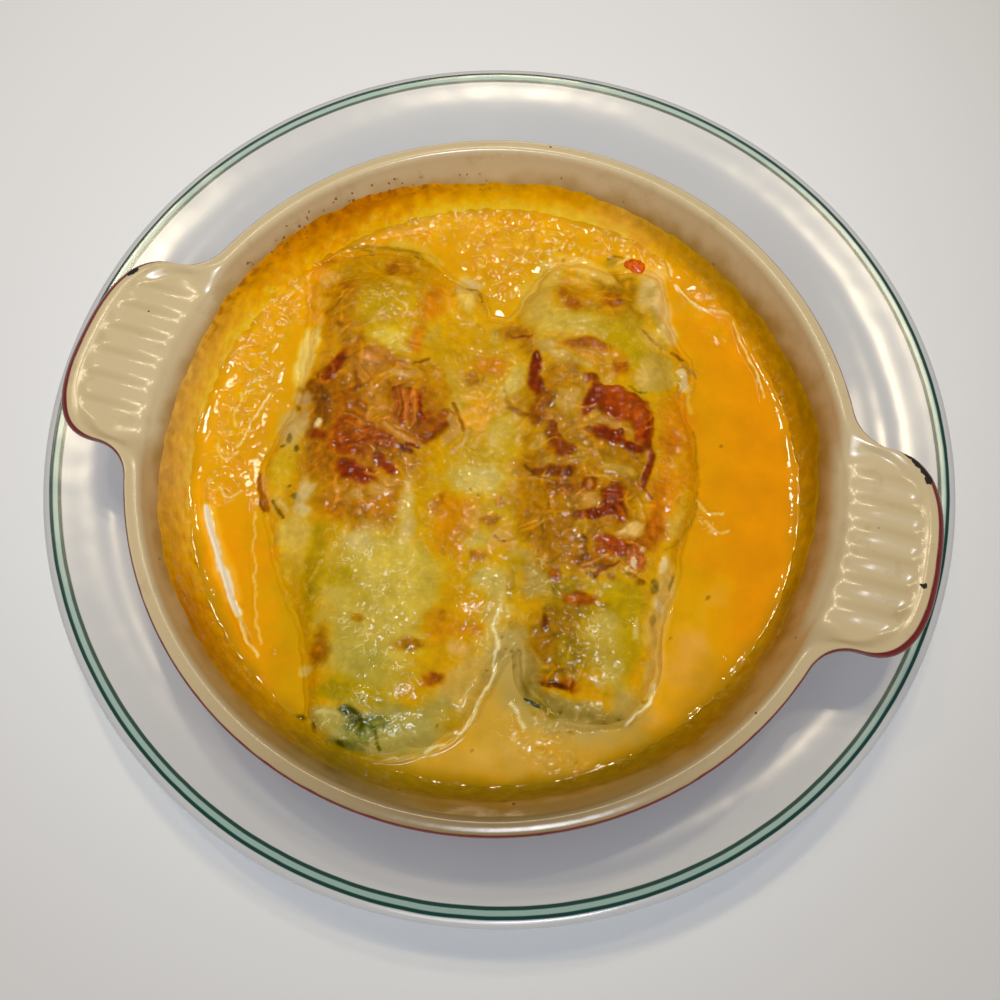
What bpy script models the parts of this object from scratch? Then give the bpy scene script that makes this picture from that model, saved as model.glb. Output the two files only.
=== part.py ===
"""Two cannelloni baked in cream sauce: a round two-eared gratin dish standing on its plate.

The dish's ears lie along X. The origin is at the middle of the plate's foot, on the table.
Run with: blender --background --python part.py
"""
import math

import bmesh
import bpy
from mathutils import Matrix, Vector

GAP = 0.0003                 # clearance between pieces that touch

# Plate
PLATE_RADIUS = 0.135
PLATE_HEIGHT = 0.024
PLATE_FLOOR = 0.0050         # height of the well's upper face
WELL_RADIUS = 0.088          # flat part of the well
FOOT_RADIUS = 0.084          # outer radius of the foot ring

# Gratin dish; heights are above its own base
DISH_CENTRE = (0.0019, -0.0143)
DISH_HEIGHT = 0.0450
DISH_RADIUS = 0.0973         # to the outside of the lip
LIP_WIDTH = 0.0043
BASE_RADIUS = 0.068
BASE_THICKNESS = 0.0043
EAR_TIP = 0.1179             # from the dish's axis to the end of an ear
EAR_HALF_WIDTH = 0.0278
EAR_ROUNDING = 2.5           # exponent of the ear's superellipse end
EAR_FILLET = 0.012           # concave corner between ear and rim
EAR_SCOOP = 0.0018           # hollow of the thumb rest below the ear's border

# Food; heights are above the dish's base
SAUCE_LEVEL = 0.0252
ROLL_HEIGHT = 0.0302
PASTA_WALL = 0.0020
END_BULGE = 0.0015           # of the filling past the pasta's ends
CHEESE_DEPTH = 0.0024
CHEESE_OVERHANG = 0.0045     # past the far end of each roll
BARE_END = 0.0090            # of the near end of each roll, where the filling shows
BRIDGE_HEIGHT = 0.0305       # top of the melted cheese between the two rolls

# Each roll: middle of its axis seen from above, direction of its far end, length and width.
# The outer flank sags out by belly, round the place belly_at along the axis (from -1 to 1).
ROLLS = {
    "left": {
        "centre": (-0.0278, -0.0138), "turn": math.radians(107.5), "length": 0.145, "width": 0.0455,
        "outer_side": 1.0, "belly": 0.0075, "belly_at": 0.0,
    },
    "right": {
        "centre": (0.0265, 0.0022), "turn": math.radians(104.0), "length": 0.134, "width": 0.0455,
        "outer_side": -1.0, "belly": 0.0050, "belly_at": 0.2,
    },
}
BELLY_SPREAD = 0.42          # share of the half length that a belly takes

DISH_BASE_Z = PLATE_FLOOR + GAP


# ---------------------------------------------------------------- scene helpers

def clear_scene():
    for item in list(bpy.data.objects):
        bpy.data.objects.remove(item, do_unlink=True)


def new_collection(name):
    group = bpy.data.collections.new(name)
    bpy.context.scene.collection.children.link(group)
    return group


def add_object(name, mesh, group, material=None):
    item = bpy.data.objects.new(name, mesh)
    group.objects.link(item)
    if material is not None:
        mesh.materials.append(material)
    return item


def add_material(name, colour, roughness, metallic=0.0):
    material = bpy.data.materials.new(name)
    material.use_nodes = True
    shader = material.node_tree.nodes["Principled BSDF"]
    shader.inputs["Base Color"].default_value = (*colour, 1.0)
    shader.inputs["Roughness"].default_value = roughness
    shader.inputs["Metallic"].default_value = metallic
    return material


def shade_round(mesh, crease_deg=40.0):
    mesh.shade_smooth()
    mesh.set_sharp_from_angle(angle=math.radians(crease_deg))


def hide_cutter(item):
    item.hide_render = True
    item.display_type = "WIRE"


def add_boolean(item, cutter, operation):
    step = item.modifiers.new(operation.lower() + "_" + cutter.name, "BOOLEAN")
    step.operation = operation
    step.solver = "EXACT"
    step.object = cutter


def loft(rings, closed=False):
    """Mesh through rings of equal point count; the ends get flat caps unless the loft closes on itself."""
    mesh = bmesh.new()
    rows = [[mesh.verts.new(point) for point in ring] for ring in rings]
    count = len(rows[0])
    spans = len(rows) if closed else len(rows) - 1
    for r in range(spans):
        low, high = rows[r], rows[(r + 1) % len(rows)]
        for i in range(count):
            j = (i + 1) % count
            mesh.faces.new((low[i], low[j], high[j], high[i]))
    if not closed:
        mesh.faces.new(rows[0][::-1])
        mesh.faces.new(rows[-1])
    bmesh.ops.recalc_face_normals(mesh, faces=mesh.faces)
    result = bpy.data.meshes.new("loft")
    mesh.to_mesh(result)
    mesh.free()
    return result


def turned(name, profile, group, material, steps):
    """Solid of revolution: a profile of (radius, height) points, turned with a Screw modifier."""
    mesh = bpy.data.meshes.new(name)
    verts = [(radius, 0.0, height) for radius, height in profile]
    mesh.from_pydata(verts, [(i, i + 1) for i in range(len(verts) - 1)], [])
    item = add_object(name, mesh, group, material)
    screw = item.modifiers.new("turn", "SCREW")
    screw.steps = steps
    screw.render_steps = steps
    screw.use_merge_vertices = True
    screw.merge_threshold = 0.00001
    screw.use_smooth_shade = True
    return item


# ---------------------------------------------------------------- plate

def make_plate(group):
    """Porcelain plate: flat well, rising rim, rounded edge and a low foot ring."""
    porcelain = add_material("porcelain", (0.78, 0.78, 0.76), 0.18)
    edge = PLATE_RADIUS
    top = PLATE_HEIGHT
    profile = [
        (0.0, PLATE_FLOOR),
        (WELL_RADIUS, PLATE_FLOOR),
        (WELL_RADIUS + 0.006, PLATE_FLOOR + 0.0017),
        (WELL_RADIUS + 0.011, PLATE_FLOOR + 0.0060),
        (WELL_RADIUS + 0.016, PLATE_FLOOR + 0.0094),
        (edge - 0.018, top - 0.0037),
        (edge - 0.0045, top - 0.0006),
        (edge - 0.0018, top),
        (edge, top - 0.0015),
        (edge - 0.0012, top - 0.0034),
        (edge - 0.018, top - 0.0080),
        (WELL_RADIUS + 0.013, PLATE_FLOOR + 0.0020),
        (FOOT_RADIUS + 0.0015, 0.0024),
        (FOOT_RADIUS, 0.0),
        (FOOT_RADIUS - 0.0045, 0.0),
        (FOOT_RADIUS - 0.0065, 0.0014),
        (0.0, 0.0014),
    ]
    return turned("plate", profile, group, porcelain, steps=52)


# ---------------------------------------------------------------- gratin dish

def rim_outline(ear_points=8, fillet_points=3, arc_points=8):
    """Outline of the rim with its two ears, as (base angle, x, y) in turning order.

    One quarter runs along the ear's rounded end, round the concave fillet and along the rim's arc.
    The base angles spread the same points evenly round the bowl below.
    """
    fillet_y = EAR_HALF_WIDTH + EAR_FILLET
    fillet_x = math.sqrt((DISH_RADIUS + EAR_FILLET) ** 2 - fillet_y ** 2)
    join_angle = math.atan2(fillet_y, fillet_x)
    reach = EAR_TIP - fillet_x

    path = []
    for i in range(ear_points):
        t = 0.5 * math.pi * i / ear_points
        x = fillet_x + reach * math.cos(t) ** (2.0 / EAR_ROUNDING)
        y = EAR_HALF_WIDTH * math.sin(t) ** (2.0 / EAR_ROUNDING)
        path.append((x, y))
    for i in range(fillet_points + 1):
        t = -0.5 * math.pi - (0.5 * math.pi - join_angle) * i / fillet_points
        path.append((fillet_x + EAR_FILLET * math.cos(t), fillet_y + EAR_FILLET * math.sin(t)))
    quarter = [(join_angle * i / (len(path) - 1), x, y) for i, (x, y) in enumerate(path)]
    for i in range(1, arc_points + 1):
        angle = join_angle + (0.5 * math.pi - join_angle) * i / arc_points
        quarter.append((angle, DISH_RADIUS * math.cos(angle), DISH_RADIUS * math.sin(angle)))

    half = quarter + [(math.pi - angle, -x, y) for angle, x, y in quarter[-2::-1]]
    return half + [(2.0 * math.pi - angle, x, -y) for angle, x, y in half[-2:0:-1]]


OUTLINE = rim_outline()


def dish_ring(radius, height, reach=0.0, dip=0.0):
    """One ring of the dish: a circle that follows the ears by the fraction reach, and dips on them."""
    points = []
    for angle, x, y in OUTLINE:
        side = Vector((math.cos(angle), math.sin(angle)))
        ear = Vector((x, y)) - side * DISH_RADIUS
        fullness = min(1.0, ear.length / (EAR_TIP - DISH_RADIUS))
        place = side * radius + ear * reach
        points.append((DISH_CENTRE[0] + place.x, DISH_CENTRE[1] + place.y,
                       DISH_BASE_Z + height - dip * fullness))
    return points


def dish_inside():
    """Inner wall as (radius, height), from the lip down to the floor."""
    mouth = DISH_RADIUS - LIP_WIDTH
    floor = BASE_THICKNESS
    return [
        (mouth - 0.0009, DISH_HEIGHT - 0.0030),
        (mouth - 0.0027, DISH_HEIGHT - 0.0100),
        (mouth - 0.0056, SAUCE_LEVEL),
        (mouth - 0.0088, floor + 0.0102),
        (mouth - 0.0128, floor + 0.0037),
        (mouth - 0.0193, floor + 0.0006),
        (mouth - 0.0270, floor),
    ]


def inside_radius(height):
    """Radius of the inner wall at a height, by straight lines between the wall's points."""
    wall = dish_inside()
    for (r_high, z_high), (r_low, z_low) in zip(wall, wall[1:]):
        if z_low <= height <= z_high:
            return r_low + (r_high - r_low) * (height - z_low) / (z_high - z_low)
    return wall[0][0]


def make_dish(group):
    """Enamelled cast-iron gratin dish: one wall that flares into two scooped ears."""
    enamel = add_material("cream_enamel", (0.60, 0.52, 0.36), 0.22)
    lip = DISH_HEIGHT
    rings = [
        dish_ring(BASE_RADIUS, 0.0),
        dish_ring(BASE_RADIUS + 0.0085, 0.0021),
        dish_ring(BASE_RADIUS + 0.0160, 0.0080),
        dish_ring(BASE_RADIUS + 0.0204, 0.0150),
        dish_ring(BASE_RADIUS + 0.0236, SAUCE_LEVEL),
        dish_ring(DISH_RADIUS - 0.0022, lip - 0.0075),
        dish_ring(DISH_RADIUS - 0.0010, lip - 0.0040, reach=0.93),
        dish_ring(DISH_RADIUS, lip - 0.0016, reach=1.0),
        dish_ring(DISH_RADIUS - 0.0013, lip, reach=0.96),
        dish_ring(DISH_RADIUS - LIP_WIDTH + 0.0012, lip, reach=0.62, dip=EAR_SCOOP * 0.6),
        dish_ring(DISH_RADIUS - LIP_WIDTH, lip - 0.0010, reach=0.30, dip=EAR_SCOOP),
    ]
    rings += [dish_ring(radius, height) for radius, height in dish_inside()]
    mesh = loft(rings)
    shade_round(mesh)
    return add_object("gratin_dish", mesh, group, enamel)


# ---------------------------------------------------------------- food

def interior_mesh(top):
    """Solid that fills the dish up to a height, clear of its wall and floor."""
    wall = [(radius, height) for radius, height in dish_inside() if height < top]
    rings = [dish_ring(inside_radius(top) - GAP, top)]
    rings += [dish_ring(radius - GAP, height + GAP) for radius, height in wall]
    return loft(rings)


def roll_frame(roll):
    """Matrix that lays a roll modelled along +X, with its underside at zero, in its place in the dish."""
    x, y = roll["centre"]
    place = Matrix.Translation((DISH_CENTRE[0] + x, DISH_CENTRE[1] + y,
                                DISH_BASE_Z + BASE_THICKNESS + GAP))
    return place @ Matrix.Rotation(roll["turn"], 4, "Z")


def end_taper(along):
    """Width of a roll at a place along it, from -1 to 1, as a share of its full width."""
    return (1.0 - abs(along) ** 5) ** 0.4 * 0.34 + 0.66


def belly(roll, along, across):
    """How far a roll's flank sags outwards; nothing on its inner side."""
    if across * roll["outer_side"] <= 0.0:
        return 0.0
    return roll["belly"] * math.exp(-((along - roll["belly_at"]) / BELLY_SPREAD) ** 2)


def rounded(value, squareness):
    """A sine or cosine pulled towards a square corner."""
    return math.copysign(abs(value) ** squareness, value)


def roll_ring(roll, along, inset, sides=18, squareness=0.82):
    """One cross-section of a roll: a soft flattened round, inset by a wall thickness."""
    taper = end_taper(along)
    height = ROLL_HEIGHT * (0.35 + 0.65 * taper)
    half_width = 0.5 * roll["width"] * taper - inset
    half_height = 0.5 * height - inset
    x = 0.5 * roll["length"] * along
    points = []
    for i in range(sides):
        angle = 2.0 * math.pi * i / sides
        cosine = rounded(math.cos(angle), squareness)
        y = cosine * (half_width + belly(roll, along, cosine))
        z = half_height * rounded(math.sin(angle), squareness)
        points.append((x, y, 0.5 * height + z))
    return points


STATIONS = (-1.0, -0.95, -0.85, -0.68, -0.4, 0.0, 0.4, 0.68, 0.85, 0.95, 1.0)


def at_x(ring, x):
    """The same cross-section, moved to another place along the roll's axis."""
    return [(x, y, z) for _, y, z in ring]


def roll_solid(roll, inset):
    """Closed form of a whole roll with bulging ends; a negative inset grows it."""
    half = 0.5 * roll["length"] + max(-inset, 0.0)
    rings = [roll_ring(roll, along, inset) for along in STATIONS]
    near, far = rings[0], rings[-1]
    near_bulge = roll_ring(roll, -1.0, inset + END_BULGE)
    far_bulge = roll_ring(roll, 1.0, inset + END_BULGE)
    mesh = loft([at_x(near_bulge, -half - END_BULGE), at_x(near, -half)] + rings[1:-1]
                + [at_x(far, half), at_x(far_bulge, half + END_BULGE)])
    mesh.transform(roll_frame(roll))
    return mesh


def make_pasta(side, roll, group, interior):
    """Pasta sheet rolled into an open-ended tube."""
    pasta = add_material("pasta_" + side, (0.66, 0.60, 0.28), 0.4)
    outside = [roll_ring(roll, along, 0.0) for along in STATIONS]
    inside = [roll_ring(roll, along, PASTA_WALL) for along in STATIONS[::-1]]
    mesh = loft(outside + inside, closed=True)
    mesh.transform(roll_frame(roll))
    shade_round(mesh)
    item = add_object("pasta_" + side, mesh, group, pasta)
    add_boolean(item, interior, "INTERSECT")
    return item


def make_filling(side, roll, group, interior):
    """Spinach and ricotta filling, through the whole roll and bulging a little out of both ends."""
    filling = add_material("filling_" + side, (0.16, 0.20, 0.08), 0.5)
    mesh = roll_solid(roll, inset=PASTA_WALL + GAP)
    shade_round(mesh)
    item = add_object("filling_" + side, mesh, group, filling)
    add_boolean(item, interior, "INTERSECT")
    return item


def make_sauce(group, roll_cutters):
    """Cream and tomato sauce: fills the dish to its level, round both rolls."""
    sauce = add_material("sauce", (0.85, 0.50, 0.06), 0.15)
    mesh = interior_mesh(SAUCE_LEVEL)
    item = add_object("sauce", mesh, group, sauce)
    for cutter in roll_cutters:
        add_boolean(item, cutter, "DIFFERENCE")
    return item


def smooth_larger(a, b, softness):
    """The larger of two heights, blended over a softness."""
    share = max(softness - abs(a - b), 0.0) / softness
    return max(a, b) + share * share * softness * 0.25


def cheese_dome(roll, x, y):
    """Height of the melted cheese over one roll, at a point of the dish."""
    dx, dy = x - roll["centre"][0], y - roll["centre"][1]
    cos_t, sin_t = math.cos(roll["turn"]), math.sin(roll["turn"])
    middle = 0.5 * (CHEESE_OVERHANG + BARE_END)
    half_length = 0.5 * (roll["length"] + CHEESE_OVERHANG - BARE_END)
    along = (dx * cos_t + dy * sin_t - middle) / half_length
    across = -dx * sin_t + dy * cos_t
    across /= 0.5 * roll["width"] + CHEESE_DEPTH + belly(roll, along, across)
    distance = abs(across) ** 2.6 + abs(along) ** 7
    top = BASE_THICKNESS + GAP + ROLL_HEIGHT + CHEESE_DEPTH
    drop = top - SAUCE_LEVEL
    return top - drop * min(distance, 3.0) ** 1.5


def cheese_height(x, y):
    """Height of the melted cheese: two domes and the bridge that sags between them."""
    left, right = ROLLS["left"], ROLLS["right"]
    bridge_half_length = 0.052
    bridge_half_width = 0.030
    mid_x = 0.5 * (left["centre"][0] + right["centre"][0])
    mid_y = 0.5 * (left["centre"][1] + right["centre"][1])
    turn = 0.5 * (left["turn"] + right["turn"])
    along = ((x - mid_x) * math.cos(turn) + (y - mid_y) * math.sin(turn)) / bridge_half_length
    across = (-(x - mid_x) * math.sin(turn) + (y - mid_y) * math.cos(turn)) / bridge_half_width
    bridge = BRIDGE_HEIGHT - (BRIDGE_HEIGHT - SAUCE_LEVEL) * (abs(along) ** 4 + abs(across) ** 4)
    domes = smooth_larger(cheese_dome(left, x, y), cheese_dome(right, x, y), 0.002)
    return smooth_larger(domes, max(bridge, SAUCE_LEVEL - 0.01), 0.002)


def make_cheese(group, above_sauce, roll_cutters):
    """Melted cheese: a grid draped over both rolls, thickened down to the sauce, and cut by the rolls."""
    cheese = add_material("melted_cheese", (0.70, 0.62, 0.22), 0.3)
    half_x, half_y = 0.064, 0.084
    underside = SAUCE_LEVEL - 0.006
    least_depth = 0.002
    mesh = bmesh.new()
    bmesh.ops.create_grid(mesh, x_segments=26, y_segments=32, size=1.0)
    for vert in mesh.verts:
        x, y = vert.co.x * half_x, vert.co.y * half_y
        height = max(cheese_height(x, y), underside + least_depth)
        vert.co = (DISH_CENTRE[0] + x, DISH_CENTRE[1] + y, DISH_BASE_Z + height)
    border = [edge for edge in mesh.edges if edge.is_boundary]
    skirt = bmesh.ops.extrude_edge_only(mesh, edges=border)["geom"]
    for vert in [part for part in skirt if isinstance(part, bmesh.types.BMVert)]:
        vert.co.z = DISH_BASE_Z + underside
    hem = [edge for edge in mesh.edges if edge.is_boundary]
    bmesh.ops.contextual_create(mesh, geom=hem)
    bmesh.ops.recalc_face_normals(mesh, faces=mesh.faces)
    result = bpy.data.meshes.new("melted_cheese")
    mesh.to_mesh(result)
    mesh.free()
    shade_round(result)
    item = add_object("melted_cheese", result, group, cheese)
    add_boolean(item, above_sauce, "INTERSECT")
    for cutter in reversed(roll_cutters):
        add_boolean(item, cutter, "DIFFERENCE")
    return item


# ---------------------------------------------------------------- assembly

def make_cutters(group):
    """Guides that trim the food: the dish's inside, the space above the sauce, and each grown roll."""
    interior = add_object("interior_guide", interior_mesh(DISH_HEIGHT - 0.0035), group)
    radius = inside_radius(SAUCE_LEVEL) - GAP
    rings = [dish_ring(radius, SAUCE_LEVEL + GAP), dish_ring(radius, DISH_HEIGHT)]
    above_sauce = add_object("above_sauce_guide", loft(rings), group)
    rolls = [add_object("roll_guide_" + side, roll_solid(roll, inset=-GAP), group)
             for side, roll in ROLLS.items()]
    for item in [interior, above_sauce] + rolls:
        hide_cutter(item)
    return interior, above_sauce, rolls


def build():
    clear_scene()
    parts = new_collection("cannelloni")
    guides = new_collection("guides")
    interior, above_sauce, roll_cutters = make_cutters(guides)
    make_plate(parts)
    make_dish(parts)
    make_sauce(parts, roll_cutters)
    for side, roll in ROLLS.items():
        make_pasta(side, roll, parts, interior)
        make_filling(side, roll, parts, interior)
    make_cheese(parts, above_sauce, roll_cutters)


build()
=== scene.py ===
"""Two cannelloni baked under cheese in a round, two-eared gratin dish that stands on its plate."""
import math

import bmesh
import bpy
import numpy as np
from mathutils import Matrix, Vector


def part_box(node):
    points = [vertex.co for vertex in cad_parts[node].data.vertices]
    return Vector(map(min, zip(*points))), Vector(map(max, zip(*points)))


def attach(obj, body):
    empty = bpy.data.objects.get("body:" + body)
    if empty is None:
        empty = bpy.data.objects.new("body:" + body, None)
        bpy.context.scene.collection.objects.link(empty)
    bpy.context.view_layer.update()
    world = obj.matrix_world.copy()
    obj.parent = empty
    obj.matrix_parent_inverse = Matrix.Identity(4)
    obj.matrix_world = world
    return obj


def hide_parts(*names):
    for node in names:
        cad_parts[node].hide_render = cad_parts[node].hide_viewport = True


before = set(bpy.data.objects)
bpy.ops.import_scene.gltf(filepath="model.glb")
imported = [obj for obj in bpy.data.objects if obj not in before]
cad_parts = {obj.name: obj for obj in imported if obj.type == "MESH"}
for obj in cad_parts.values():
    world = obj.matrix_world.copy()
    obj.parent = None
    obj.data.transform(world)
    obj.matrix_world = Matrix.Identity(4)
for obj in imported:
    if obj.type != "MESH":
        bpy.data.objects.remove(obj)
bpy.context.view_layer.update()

mm = 0.001


# ---------------------------------------------------------------- table, light and camera
# A plain pale table top under soft room light. A few small ceiling lamps give wet food and
# glaze their sharp glints. The camera looks down over the near edge of the plate.

def srgb(code):
    """The three sRGB parts of a hex code, from 0 to 1."""
    return [int(code[i:i + 2], 16) / 255.0 for i in (1, 3, 5)]


def colour(code):
    """Linear colour of an sRGB hex code."""
    linear = [v / 12.92 if v <= 0.04045 else ((v + 0.055) / 1.055) ** 2.4 for v in srgb(code)]
    return (*linear, 1.0)


def add_node(tree, kind, inputs=None, **settings):
    """Add a node with its settings; an input is a constant, or another node's output to link."""
    node = tree.nodes.new("ShaderNode" + kind)
    for name, value in settings.items():
        setattr(node, name, value)
    for name, value in (inputs or {}).items():
        socket = node.inputs[name]
        if isinstance(value, bpy.types.NodeSocket):
            tree.links.new(value, socket)
        else:
            socket.default_value = value
    return node


def new_material(name):
    """An empty node material and its output node."""
    material = bpy.data.materials.new(name)
    material.use_nodes = True
    tree = material.node_tree
    tree.nodes.clear()
    return material, tree, tree.nodes.new("ShaderNodeOutputMaterial")


def deselect():
    bpy.ops.object.select_all(action="DESELECT")


def in_place(item, name):
    """Name a piece, move its placement into its mesh and leave it unselected."""
    item.name = name
    item.data.name = name
    deselect()
    item.select_set(True)
    bpy.context.view_layer.objects.active = item
    bpy.ops.object.transform_apply(location=True, rotation=True, scale=True)
    deselect()
    return item


dish_low, dish_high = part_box("gratin_dish")
plate_low, plate_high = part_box("plate")
dish_x = 0.5 * (dish_low.x + dish_high.x)
dish_y = 0.5 * (dish_low.y + dish_high.y)
dish_base = dish_low.z

bpy.context.scene.view_settings.view_transform = "Standard"

world = bpy.data.worlds.new("room")
bpy.context.scene.world = world
world.use_nodes = True
world.node_tree.nodes["Background"].inputs["Color"].default_value = colour("#f2f6ff")
world.node_tree.nodes["Background"].inputs["Strength"].default_value = 0.12

bpy.ops.mesh.primitive_plane_add(size=6.0, location=(0.0, 0.0, plate_low.z - 0.0002))
floor = in_place(bpy.context.object, "table_top")
table_paint, tree, output = new_material("pale matt table")
shader = add_node(tree, "BsdfPrincipled", {"Base Color": colour("#fbfaf8"), "Roughness": 0.9})
tree.links.new(shader.outputs["BSDF"], output.inputs["Surface"])
floor.data.materials.append(table_paint)


def add_lamp(name, azimuth, tilt, distance, size, power, aim, tint="#eef4ff", cone=None):
    """A lamp at an azimuth from +X and a tilt from overhead, in degrees, turned to its aim."""
    data = bpy.data.lights.new(name, "SPOT" if cone else "AREA")
    data.energy = power
    data.color = colour(tint)[:3]
    if cone:
        data.shadow_soft_size = size
        data.spot_size = math.radians(cone)
        data.spot_blend = 1.0
    else:
        data.shape = "DISK"
        data.size = size
    lamp = bpy.data.objects.new(name, data)
    bpy.context.scene.collection.objects.link(lamp)
    a, t = math.radians(azimuth), math.radians(tilt)
    away = Vector((math.cos(a) * math.sin(t), math.sin(a) * math.sin(t), math.cos(t)))
    lamp.location = Vector(aim) + away * distance
    lamp.rotation_euler = (-away).to_track_quat("-Z", "Y").to_euler()
    return lamp


middle = (dish_x, dish_y, dish_high.z)
add_lamp("soft_ceiling", azimuth=285, tilt=30, distance=1.3, size=0.5, power=4.0, aim=middle)
add_lamp("key", azimuth=300, tilt=28, distance=1.1, size=0.12, power=20.0,
         aim=(dish_x - 0.06, dish_y + 0.10, dish_high.z), cone=34)
GLINT_LAMPS = [("far", 104, 29, 1.2), ("back_left", 128, 25, 1.3), ("back_right", 86, 22, 1.0),
               ("side_left", 149, 29, 0.5)]
for name, azimuth, tilt, power in GLINT_LAMPS:
    add_lamp(name, azimuth, tilt, distance=1.2, size=0.075, power=power, aim=middle, tint="#ffecc8")

camera_data = bpy.data.cameras.new("camera")
camera_data.sensor_width = 36.0
camera_data.lens = 30.6
camera_data.clip_start = 0.01
camera = bpy.data.objects.new("camera", camera_data)
bpy.context.scene.collection.objects.link(camera)
CAMERA_AZIMUTH, CAMERA_ELEVATION, CAMERA_ROLL = (math.radians(a) for a in (14.23, 72.52, 1.68))
CAMERA_DISTANCE = 240.7 * mm
aim = Vector((dish_x + 4.1 * mm, dish_y - 8.6 * mm, dish_high.z - 20.3 * mm))
back = Vector((math.sin(CAMERA_AZIMUTH) * math.cos(CAMERA_ELEVATION),
               -math.cos(CAMERA_AZIMUTH) * math.cos(CAMERA_ELEVATION),
               math.sin(CAMERA_ELEVATION)))
turn = back.to_track_quat("Z", "Y").to_matrix().to_4x4() @ Matrix.Rotation(CAMERA_ROLL, 4, "Z")
camera.matrix_world = Matrix.Translation(aim + back * CAMERA_DISTANCE) @ turn
bpy.context.scene.camera = camera


# ---------------------------------------------------------------- plate
# A porcelain restaurant plate, jiggered in a mould, glazed all over but for its foot, with two
# fine green lines and a mint band between them, banded by hand on a wheel near the edge.

PLATE_RADIUS = plate_high.x
PLATE_HEIGHT = plate_high.z
PLATE_FLOOR = dish_base - 0.3 * mm
WELL_RADIUS = 88 * mm
FOOT_RADIUS = 84 * mm


def smooth_curve(points, spacing, most=1000):
    """Points along a smooth curve through the given ones, about a spacing apart, but at most so
    many steps between two of them."""
    ends = [2 * np.array(points[0]) - np.array(points[1]),
            2 * np.array(points[-1]) - np.array(points[-2])]
    p = np.vstack([ends[0], np.array(points, float), ends[1]])
    out = []
    for a, b, c, d in zip(p, p[1:], p[2:], p[3:]):
        steps = min(most, max(1, int(round(np.linalg.norm((c - b)[:2]) / spacing))))
        for t in np.arange(steps) / steps:
            out.append(0.5 * (2 * b + (c - a) * t + (2 * a - 5 * b + 4 * c - d) * t ** 2
                              + (3 * b - a - 3 * c + d) * t ** 3))
    return out + [p[-2]]


def turned(name, profile, steps):
    """Turn a profile of (radius, height) points once round Z; it starts and ends by the axis."""
    bpy.ops.mesh.primitive_circle_add(vertices=3, radius=profile[0][0])
    item = bpy.context.object
    mesh = bmesh.new()
    row = [mesh.verts.new((radius, 0.0, height)) for radius, height in profile]
    for a, b in zip(row, row[1:]):
        mesh.edges.new((a, b))
    mesh.to_mesh(item.data)
    mesh.free()
    screw = item.modifiers.new("turn", "SCREW")
    screw.steps = screw.render_steps = steps
    screw.use_merge_vertices = True
    screw.merge_threshold = 0.002 * mm
    bpy.ops.object.modifier_apply(modifier=screw.name)
    bpy.ops.object.mode_set(mode="EDIT")
    bpy.ops.mesh.select_all(action="SELECT")
    bpy.ops.mesh.remove_doubles(threshold=0.002 * mm)
    bpy.ops.mesh.normals_make_consistent(inside=False)
    bpy.ops.object.mode_set(mode="OBJECT")
    bpy.ops.object.shade_smooth_by_angle(angle=math.radians(45))
    return in_place(item, name)


plate_top = smooth_curve([
    (0.0, PLATE_FLOOR),
    (60 * mm, PLATE_FLOOR),
    (WELL_RADIUS, PLATE_FLOOR),
    (WELL_RADIUS + 6 * mm, PLATE_FLOOR + 1.9 * mm),
    (WELL_RADIUS + 11 * mm, PLATE_FLOOR + 6.0 * mm),
    (WELL_RADIUS + 16.5 * mm, PLATE_FLOOR + 9.6 * mm),
    (PLATE_RADIUS - 18 * mm, PLATE_HEIGHT - 3.7 * mm),
    (PLATE_RADIUS - 5.0 * mm, PLATE_HEIGHT - 0.6 * mm),
], 1.5 * mm)
plate_edge = smooth_curve([
    (PLATE_RADIUS - 5.0 * mm, PLATE_HEIGHT - 0.6 * mm),
    (PLATE_RADIUS - 2.2 * mm, PLATE_HEIGHT - 0.05 * mm),
    (PLATE_RADIUS - 0.6 * mm, PLATE_HEIGHT - 0.5 * mm),
    (PLATE_RADIUS, PLATE_HEIGHT - 1.6 * mm),
    (PLATE_RADIUS - 0.9 * mm, PLATE_HEIGHT - 3.0 * mm),
    (PLATE_RADIUS - 3.5 * mm, PLATE_HEIGHT - 4.2 * mm),
], 0.5 * mm)
plate_under = smooth_curve([
    (PLATE_RADIUS - 3.5 * mm, PLATE_HEIGHT - 4.2 * mm),
    (PLATE_RADIUS - 18 * mm, PLATE_HEIGHT - 8.0 * mm),
    (WELL_RADIUS + 13 * mm, PLATE_FLOOR + 2.0 * mm),
    (WELL_RADIUS + 4 * mm, PLATE_FLOOR - 1.9 * mm),
    (FOOT_RADIUS + 1.4 * mm, 2.0 * mm),
], 2.0 * mm)
plate_foot = [
    (FOOT_RADIUS + 0.3 * mm, 0.5 * mm),
    (FOOT_RADIUS - 0.4 * mm, 0.0),
    (FOOT_RADIUS - 4.1 * mm, 0.0),
    (FOOT_RADIUS - 4.9 * mm, 0.5 * mm),
    (FOOT_RADIUS - 6.3 * mm, 1.4 * mm),
    (60 * mm, 1.4 * mm),
    (0.0, 1.4 * mm),
]
plate = turned("plate_fired", plate_top + plate_edge[1:] + plate_under[1:] + plate_foot, steps=192)

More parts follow.
